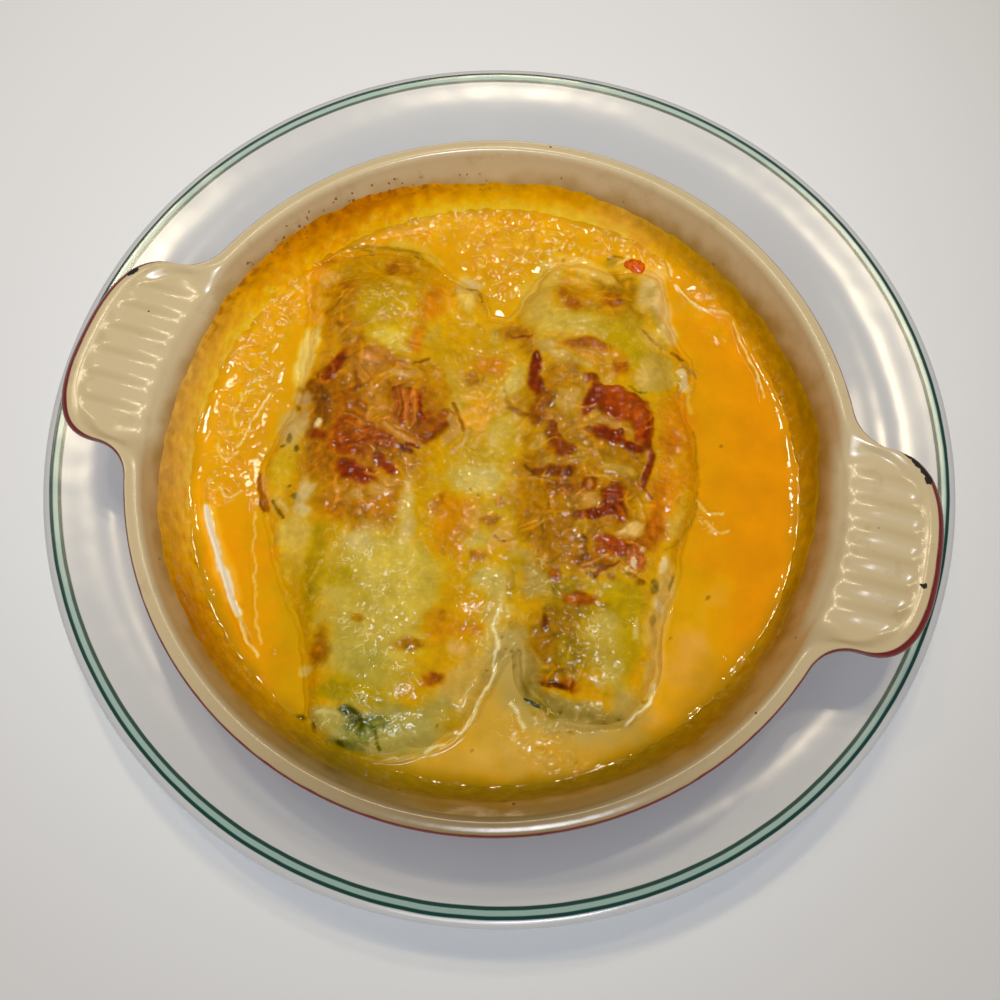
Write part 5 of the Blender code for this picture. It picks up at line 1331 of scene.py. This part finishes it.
crust = smooth_step(0.05, 0.5, wall_lumps(angle, height, 2.2 * mm, 515))
crust *= smooth_step(0.55, 0.95, up) * (0.25 + 0.75 * smooth_step(45, 22, np.abs(degrees - 138)))
tint *= 1.08
tint += (0.65 * crust)[:, None] * (np.array([0.62, 0.35, 0.04]) - tint)
tint *= (1.0 + 0.07 * wall_lumps(angle, height, 3 * mm, 520))[:, None]
vertex_paint(film, np.clip(tint, 0, 1))
vertex_value(film, "foam", 0.35 * smooth_step(0.6, 0.0, up))
vertex_value(film, "lively", 0.4 + 0.4 * smooth_step(0.4, 0.9, up))
face_outwards()
bpy.ops.object.shade_smooth()
film = in_place(film, "baked_on_film")

# Above the film, fat and fine splashes have stained the enamel: (angle, strength, reach in mm).
GREASE = [
    (0, 0.95, 10), (25, 0.95, 9), (45, 0.95, 10), (60, 0.95, 9), (80, 0.85, 7), (100, 0.6, 4),
    (130, 0.6, 4), (165, 0.55, 4), (195, 0.7, 5), (215, 0.7, 5), (240, 0.7, 6), (262, 0.9, 7),
    (285, 0.95, 9), (310, 0.95, 9), (330, 0.95, 9),
]
wall = vertex_array(bowl) - np.array([dish_x, dish_y, dish_base])
wall_angle = np.arctan2(wall[:, 1], wall[:, 0])
wall_degrees = np.degrees(wall_angle) % 360.0
on_wall = np.hypot(wall[:, 0], wall[:, 1]) < np.interp(wall[:, 2], WALL_HEIGHTS, WALL_RADII) + 1.0 * mm
above = wall[:, 2] - np.interp(wall_degrees, stops, [row[1] for row in FILM], period=360.0) * mm
above += 2.6 * mm * wall_lumps(wall_angle, wall[:, 2], 7 * mm, 530, 3)
grease_stops = [row[0] for row in GREASE]
splashed, climbs = [np.interp(wall_degrees, grease_stops, [row[k] for row in GREASE], period=360.0)
                    for k in (1, 2)]
vertex_value(bowl, "grease", splashed * smooth_step(climbs * mm, -2.5 * mm, above) * on_wall)
film.data.materials.append(baked_sauce_finish)
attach(film, "root")
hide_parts("sauce")

# Crumbs of splashed sauce burnt on the wall above the film, most of them at the far left.
bpy.ops.mesh.primitive_ico_sphere_add(subdivisions=1, radius=1.0)
crumbs = bpy.context.object
one = vertex_array(crumbs)
faces = np.array([list(face.vertices) for face in crumbs.data.polygons])
draw = np.random.default_rng(19)
COUNT = 80
where = np.radians(np.where(draw.uniform(size=COUNT) < 0.7, draw.normal(135, 15, COUNT),
                            draw.uniform(0, 360, COUNT)))
level = np.interp(np.degrees(where) % 360.0, stops, [row[1] for row in FILM], period=360.0) * mm
level = np.minimum(level + draw.uniform(-4.0, 3.4, COUNT) * mm, 42.0 * mm)
out = np.interp(level, WALL_HEIGHTS, WALL_RADII) - 0.05 * mm
size = draw.uniform(0.14, 0.42, COUNT)[:, None] * draw.uniform(0.6, 1.5, (COUNT, 3)) * mm
middle_of = np.stack([dish_x + out * np.cos(where), dish_y + out * np.sin(where), dish_base + level], axis=1)
points = (middle_of[:, None, :] + one[None] * size[:, None, :]).reshape(-1, 3)
crumbs.data.clear_geometry()
all_faces = faces[None] + len(one) * np.arange(COUNT)[:, None, None]
crumbs.data.from_pydata(points.tolist(), [], all_faces.reshape(-1, 3).tolist())
bpy.ops.object.shade_smooth()
crumbs = in_place(crumbs, "burnt_crumbs")
crumb_paint, tree, output = new_material("burnt splashes of sauce")
place = add_node(tree, "TexCoord").outputs["Object"]
tone = add_node(tree, "TexNoise", {"Vector": place, "Scale": 1000 / 4, "Detail": 1.0})
burnt = mixed(tree, tone.outputs["Fac"], colour("#7a4410"), colour("#b87818"))
shader = add_node(tree, "BsdfPrincipled", {"Base Color": burnt, "Roughness": 0.45})
tree.links.new(shader.outputs["BSDF"], output.inputs["Surface"])
crumbs.data.materials.append(crumb_paint)
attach(crumbs, "root")
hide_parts("sauce")


# ---------------------------------------------------------------- pasta
# Two sheets of egg pasta, each rolled once round its filling with the free edge lapped over the
# outer flank. They have swollen and gone soft, so they are wrinkled and their ends are wavy.

PASTA_THICKNESS = 1.2 * mm
SHEET_ALONG, SHEET_AROUND = 130, 150


def roll_matrix(roll):
    """Lays a roll modelled along X, with its underside at zero, in its place in the dish."""
    place = Matrix.Translation((dish_x + roll["centre"][0], dish_y + roll["centre"][1],
                                dish_base + FLOOR_AT))
    return place @ Matrix.Rotation(roll["turn"], 4, "Z")


def section_point(roll, along, angle, inset):
    """Point of a roll's outside at an angle round its section, moved in by an inset."""
    cosine = np.sign(np.cos(angle)) * np.abs(np.cos(angle)) ** 0.82
    sine = np.sign(np.sin(angle)) * np.abs(np.sin(angle)) ** 0.82
    half, height = roll_section(roll, along, cosine)
    return cosine * (half - inset), 0.5 * height + sine * (0.5 * height - inset)


# Egg pasta, soft and stained by the spinach in it: where it shows it is glazed with the sauce.
pasta_dough = wet_food("soft boiled egg pasta, glazed by the sauce", 0.16, 1.6, 0.3 * mm, 5.0, 0.3 * mm, 0.08)


PRESSED_FROM = 7.5 * mm
PRESSED_INTO = 6.5 * mm


def held_by_wall(points):
    """Food that meets the wall is pressed against it: points too far out are drawn in, softly."""
    x, y = points[:, 0] - dish_x, points[:, 1] - dish_y
    radius = np.maximum(np.hypot(x, y), 1e-6)
    limit = np.interp(points[:, 2] - dish_base, WALL_HEIGHTS, WALL_RADII) - PRESSED_FROM
    beyond = np.clip(radius - limit, 0.0, None)
    drawn = np.minimum(radius, limit) + PRESSED_INTO * (1.0 - np.exp(-beyond / PRESSED_INTO))
    return np.stack([dish_x + x * drawn / radius, dish_y + y * drawn / radius, points[:, 2]], axis=1)


for side, roll in ROLLS.items():
    bpy.ops.mesh.primitive_grid_add(x_subdivisions=SHEET_ALONG, y_subdivisions=SHEET_AROUND, size=2.0)
    sheet = bpy.context.object
    grid = vertex_array(sheet)
    along, share = grid[:, 0].copy(), 0.5 + 0.5 * grid[:, 1]
    seed = 60 if side == "left" else 80
    lap = 1.10
    start = math.radians(10.0) if roll["side"] > 0 else math.radians(170.0)
    angle = start + roll["side"] * -1.0 * lap * 2.0 * math.pi * (share - 1.0)
    around = angle * 22 * mm
    wrinkle = lumps(along * 70 * mm, around, 11 * mm, seed, 3)
    inset = PASTA_THICKNESS * 0.9 * smooth_step(0.12, 0.0, share) - 0.35 * mm * wrinkle
    inset -= 0.4 * mm * smooth_step(0.93, 1.0, share)
    inset += 1.0 * mm
    across, up = section_point(roll, np.clip(along, -0.985, 0.985), angle, inset)
    wavy = 1.6 * mm * wander(around, around * 0 + seed * mm, 9 * mm, seed + 5)
    length = 0.5 * roll["length"] * along + wavy * smooth_step(0.9, 1.0, np.abs(along))
    set_vertices(sheet, np.stack([length, across, up], axis=1))
    thick = sheet.modifiers.new("thickness", "SOLIDIFY")
    thick.thickness = PASTA_THICKNESS
    thick.offset = -1.0
    face_outwards()
    bpy.ops.object.modifier_apply(modifier=thick.name)
    bpy.ops.object.shade_smooth()
    sheet.matrix_world = roll_matrix(roll)
    sheet = in_place(sheet, "rolled_pasta_" + side)
    points = held_by_wall(vertex_array(sheet))
    set_vertices(sheet, points)
    plan = read_place(points[:, 0] - dish_x, points[:, 1] - dish_y, points[:, 2] - dish_base)
    vertex_paint(sheet, np.clip(painted(*plan)[0], 0, 1))
    sheet.data.materials.append(pasta_dough)
    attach(sheet, "root")
    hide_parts("pasta_" + side)


# ---------------------------------------------------------------- filling
# Chopped spinach and ricotta, packed into each roll. It shows where it bulges out of the ends,
# as wet dark leaves and pale curds.

filling_mix, tree, output = new_material("wet spinach and ricotta")
place = add_node(tree, "TexCoord").outputs["Object"]
curds = add_node(tree, "TexVoronoi", {"Vector": place, "Scale": 1000 / 2.6, "Randomness": 1.0})
warp = add_node(tree, "TexNoise", {"Vector": place, "Scale": 1000 / 4.5, "Detail": 5.0, "Distortion": 1.2})
leaf = add_node(tree, "MapRange", {"Value": warp.outputs["Fac"], "From Min": 0.44, "From Max": 0.56})
curd = mixed(tree, curds.outputs["Distance"], colour("#c9c49a"), colour("#8d8f62"))
mix_colour = mixed(tree, leaf.outputs["Result"], curd, colour("#4c5330"))
dark = add_node(tree, "MapRange", {"Value": warp.outputs["Fac"], "From Min": 0.58, "From Max": 0.68})
mix_colour = mixed(tree, dark.outputs["Result"], mix_colour, colour("#23301c"))
bump = add_node(tree, "Bump", {"Height": warp.outputs["Fac"], "Strength": 0.8, "Distance": 1.0 * mm})
shader = add_node(tree, "BsdfPrincipled", {"Base Color": mix_colour, "Roughness": 0.3, "IOR": 1.4,
                                           "Normal": bump.outputs["Normal"]})
tree.links.new(shader.outputs["BSDF"], output.inputs["Surface"])

for side, roll in ROLLS.items():
    bpy.ops.mesh.primitive_uv_sphere_add(segments=128, ring_count=96, radius=1.0)
    core = bpy.context.object
    ball = vertex_array(core)
    along = ball[:, 2].copy()
    angle = np.arctan2(ball[:, 1], ball[:, 0])
    width = np.hypot(ball[:, 0], ball[:, 1])
    seed = 100 if side == "left" else 120
    inner = roll_section(roll, along, np.cos(angle))
    across, up = section_point(roll, along * 0.97, angle, PASTA_THICKNESS + 0.9 * mm)
    mid = 0.5 * inner[1]
    blunt = np.clip(width * 2.6, 0.0, 1.0) ** 0.6
    rough = 0.7 * mm * lumps(across, up + along * 30 * mm, 5 * mm, seed, 3)
    rough = rough * smooth_step(0.75, 0.97, np.abs(along))
    across = across * blunt + rough
    up = mid + (up - mid) * blunt + rough
    bulge = 1.0 * mm * (1 - blunt ** 2) + 0.6 * mm * lumps(across, up, 4 * mm, seed + 9, 3)
    length = 0.5 * roll["length"] * np.clip(along, -1, 1)
    length = length + np.sign(along) * bulge * smooth_step(0.9, 1.0, np.abs(along))
    set_vertices(core, np.stack([length, across, up], axis=1))
    face_outwards()
    bpy.ops.object.shade_smooth()
    core.matrix_world = roll_matrix(roll)
    core = in_place(core, "spinach_ricotta_" + side)
    set_vertices(core, held_by_wall(vertex_array(core)))
    core.data.materials.append(filling_mix)
    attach(core, "root")
    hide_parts("filling_" + side)


# ---------------------------------------------------------------- melted cheese
# Grated cheese strewn over both rolls and grilled. It has run together into a wet skin that still
# shows its shreds; it is browned and blistered on the crowns and thin and green over the pasta.

CHEESE_STEP = 0.45 * mm
EAST, WEST, NORTH, SOUTH = 60 * mm, -72 * mm, 74 * mm, -86 * mm
columns = int((EAST - WEST) / CHEESE_STEP) + 1
rows = int((NORTH - SOUTH) / CHEESE_STEP) + 1
bpy.ops.mesh.primitive_grid_add(x_subdivisions=columns - 1, y_subdivisions=rows - 1, size=2.0)
cheese = bpy.context.object
grid = vertex_array(cheese)
x = WEST + (EAST - WEST) * 0.5 * (grid[:, 0] + 1.0)
y = SOUTH + (NORTH - SOUTH) * 0.5 * (grid[:, 1] + 1.0)
inside = inside_outline(x, y) + 0.8 * mm * lumps(x, y, 7 * mm, 45, 2)
base = food_skin(x, y, inside)
plan_x, plan_y = read_place(x, y, base + 1.0 * mm)
tint, rise = painted(plan_x, plan_y)
brightness = tint @ np.array([0.3, 0.6, 0.1])
browned = smooth_step(0.50, 0.25, brightness)
toasted = smooth_step(0.62, 0.42, brightness)

# Shreds: short curved ridges laid at random.
draw = np.random.default_rng(11)
shred_relief = np.zeros((rows, columns))
shred_tone = np.zeros((rows, columns))
X, Y = x.reshape(rows, columns), y.reshape(rows, columns)


def lay_shred(start, heading, length, width, bend, tone, height):
    """Raise one shred: a round ridge along a bent line, fading at both ends."""
    steps = 14
    turn_angles = heading + bend * (np.arange(steps) / steps - 0.5)
    path = np.cumsum(np.stack([np.cos(turn_angles), np.sin(turn_angles)], 1) * length / steps, axis=0)
    path = path + np.array(start) - 0.5 * path[-1]
    low, high = path.min(0) - width, path.max(0) + width
    i0 = max(0, int((low[0] - WEST) / CHEESE_STEP))
    i1 = min(columns, int((high[0] - WEST) / CHEESE_STEP) + 2)
    j0 = max(0, int((low[1] - SOUTH) / CHEESE_STEP))
    j1 = min(rows, int((high[1] - SOUTH) / CHEESE_STEP) + 2)
    if i1 <= i0 or j1 <= j0:
        return
    gx, gy = X[j0:j1, i0:i1], Y[j0:j1, i0:i1]
    gap = np.hypot(gx[..., None] - path[:, 0], gy[..., None] - path[:, 1])
    nearest_step = gap.argmin(axis=-1)
    gap = gap.min(axis=-1) / (0.5 * width)
    fade = np.sin(math.pi * (nearest_step + 0.5) / steps) ** 0.35
    ridge = height * np.sqrt(np.clip(1.0 - gap ** 2, 0.0, 1.0)) * fade
    old = shred_relief[j0:j1, i0:i1]
    on_top = ridge > old
    old[on_top] = ridge[on_top]
    shred_tone[j0:j1, i0:i1][on_top] = tone


for _ in range(1100):
    start = (draw.uniform(WEST, EAST), draw.uniform(SOUTH, NORTH))
    heading = draw.uniform(0, math.pi)
    lay_shred(start, heading, draw.uniform(3, 10) * mm, draw.uniform(0.6, 1.3) * mm,
              draw.normal(0, 1.1), draw.uniform(-1, 1), draw.uniform(0.2, 0.5) * mm)
shreds = shred_relief.ravel()
tone = shred_tone.ravel()

# Blisters: thin domes that rose and browned first.
blister = np.zeros_like(x)
for _ in range(420):
    spot = np.array([draw.uniform(WEST, EAST), draw.uniform(SOUTH, NORTH)])
    size = draw.choice([0.8, 1.1, 1.6, 2.4], p=[0.4, 0.3, 0.2, 0.1]) * mm
    near = np.nonzero((np.abs(x - spot[0]) < size) & (np.abs(y - spot[1]) < size))[0]
    away = np.hypot(x[near] - spot[0], y[near] - spot[1]) / size
    blister[near] = np.maximum(blister[near], np.sqrt(np.clip(1.0 - away ** 2, 0.0, 1.0)) * size * 0.34)

# Foamy stretches, full of tiny bubbles.
FOAM = [
    (-29, -35, 6, 5, 0, 1.0), (-18, -42, 5, 6, 0, 1.0), (-23, -53, 5, 6, 0, 0.9),
    (-16, -57, 5, 6, 0, 0.9), (-46, 40, 5, 4, 0, 0.7), (38, -40, 6, 6, 0, 0.8), (43, -47, 4, 4, 0, 0.8),
    (12, -42, 3, 4, 0, 0.8), (46, 38, 3, 3, 0, 1.0), (-37, 37, 3, 6, 0, 0.5), (5, -33, 6, 5, 0, 0.7),
    (-5, -8, 7, 5, 0, 0.6), (-12, -80, 14, 5, 0, 0.8), (40, -60, 10, 3, 0, 0.5), (20, -28, 6, 6, 0, 0.6),
    (44, -18, 3, 4, 0, 1.0),
]
foam = patches(plan_x, plan_y, FOAM, 0.5)

# The sheet thins out to nothing at its border, where it sinks into the sauce.
cover = inside / mm - 0.6 + 0.8 * lumps(x, y, 8 * mm, 210, 3)
edge = smooth_step(0.0, 4.0, cover)
thickness = (0.9 * mm + 0.35 * mm * lumps(x, y, 10 * mm, 211, 2)) * edge
lively = 0.35 + 0.65 * toasted
relief = shreds * lively + blister * (0.15 + 0.65 * toasted)
relief += (0.10 + 0.20 * toasted + 0.22 * foam) * mm * lumps(x, y, 2.6 * mm, 212, 2)
relief += 0.35 * mm * lumps(x, y, 7 * mm, 213, 2)
relief += rise
top = base + thickness + relief * edge - 0.5 * mm * (1.0 - edge)
set_vertices(cheese, np.stack([dish_x + x, dish_y + y, dish_base + top], axis=1))

# Shreds take the fire on their crowns: some are darker than the cheese under them, some paler.
on_shred = np.clip(shreds / (0.35 * mm), 0, 1)
# Between shreds on toasted cheese the colour is painted darker: painted shade in the crevices.
shred_tone_and_crevice_shade = 1.0 + (0.05 + 0.24 * toasted) * tone * on_shred - 0.06 * toasted * (1.0 - on_shred)
shred_tone_and_crevice_shade += ((0.04 + 0.13 * toasted) * lumps(x, y, 2.0 * mm, 222, 3) + 0.05 * toasted
          + 0.05 * lumps(x, y, 6 * mm, 223, 2))
tint = tint * shred_tone_and_crevice_shade[:, None]
# Pale tan on the crowns of toasted shreds: partly pale strands, partly painted highlight.
tan_strands_and_glints = (0.5 * toasted * on_shred * smooth_step(0.2, 1.0, tone))[:, None]
tint += tan_strands_and_glints * (np.array([0.80, 0.58, 0.30]) - tint)
vertex_paint(cheese, np.clip(tint, 0, 1))
vertex_value(cheese, "foam", np.clip(0.16 + 0.7 * foam, 0, 1) * (1.0 - 0.9 * toasted))
vertex_value(cheese, "lively", 0.25 + 0.75 * toasted)

bpy.context.view_layer.objects.active = cheese
bpy.ops.object.mode_set(mode="EDIT")
mesh = bmesh.from_edit_mesh(cheese.data)
mesh.verts.ensure_lookup_table()
bare = cover < 0.0
bmesh.ops.delete(mesh, geom=[mesh.verts[i] for i in np.nonzero(bare)[0]], context="VERTS")
loose = [v for v in mesh.verts if not v.link_faces]
bmesh.ops.delete(mesh, geom=loose, context="VERTS")
# Only the largest sheet stays; crumbs cut off from it go.
seen, largest = set(), []
for first in mesh.verts:
    if first in seen:
        continue
    island, stack = [], [first]
    seen.add(first)
    while stack:
        vert = stack.pop()
        island.append(vert)
        for link in vert.link_edges:
            other = link.other_vert(vert)
            if other not in seen:
                seen.add(other)
                stack.append(other)
    if len(island) > len(largest):
        largest = island
keep = set(largest)
bmesh.ops.delete(mesh, geom=[v for v in mesh.verts if v not in keep], context="VERTS")
bmesh.update_edit_mesh(cheese.data)
bpy.ops.object.mode_set(mode="OBJECT")
close_below(cheese, dish_base + SAUCE_LEVEL - 2.0 * mm)
cheese = in_place(cheese, "grilled_cheese")

# Melted, grilled cheese: yellow and half clear where thin, pale where it lies thick, orange with
# oil, and browned from gold to almost black red. All of it is wet and finely crinkled.
melted_skin = wet_food("melted cheese, oily and browned under the grill", 0.08, 2.4, 0.55 * mm,
                       3.5, 0.3 * mm, 0.05)
cheese.data.materials.append(melted_skin)
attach(cheese, "root")
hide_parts("melted_cheese")

# A scrap of tomato, cooked soft, lies at the far end of the right roll.
bpy.ops.mesh.primitive_uv_sphere_add(segments=40, ring_count=20, radius=1.0)
scrap = bpy.context.object
points = vertex_array(scrap)
lumpy = 1.0 + 0.25 * lumps(points[:, 0], points[:, 1] + points[:, 2], 0.8, 71)[:, None]
points *= np.array([3.2, 2.2, 1.0]) * mm * lumpy
turn = math.radians(-12)
turned_by = np.array([[math.cos(turn), math.sin(turn)], [-math.sin(turn), math.cos(turn)]])
points[:, :2] = points[:, :2] @ turned_by
scrap_x, scrap_y = 23.8 * mm, 75.2 * mm
scrap_z = top[np.hypot(x - scrap_x, y - scrap_y).argmin()] + 0.7 * mm
set_vertices(scrap, points + np.array([dish_x + scrap_x, dish_y + scrap_y, dish_base + scrap_z]))
ripe = 0.5 + 0.5 * lumps(points[:, 0], points[:, 1], 1.1 * mm, 72)[:, None]
vertex_paint(scrap, np.array([0.70, 0.22, 0.05]) * (1.0 - ripe) + np.array([0.93, 0.48, 0.18]) * ripe)
vertex_value(scrap, "foam", 0.0 * points[:, 0])
vertex_value(scrap, "lively", 0.0 * points[:, 0] + 0.6)
bpy.ops.object.shade_smooth()
scrap = in_place(scrap, "tomato_scrap")
scrap.data.materials.append(wet_food("cooked tomato, wet", 0.06, 1.6, 0.3 * mm, 2.0, 0.2 * mm, 0.08))
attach(scrap, "root")
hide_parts("melted_cheese")
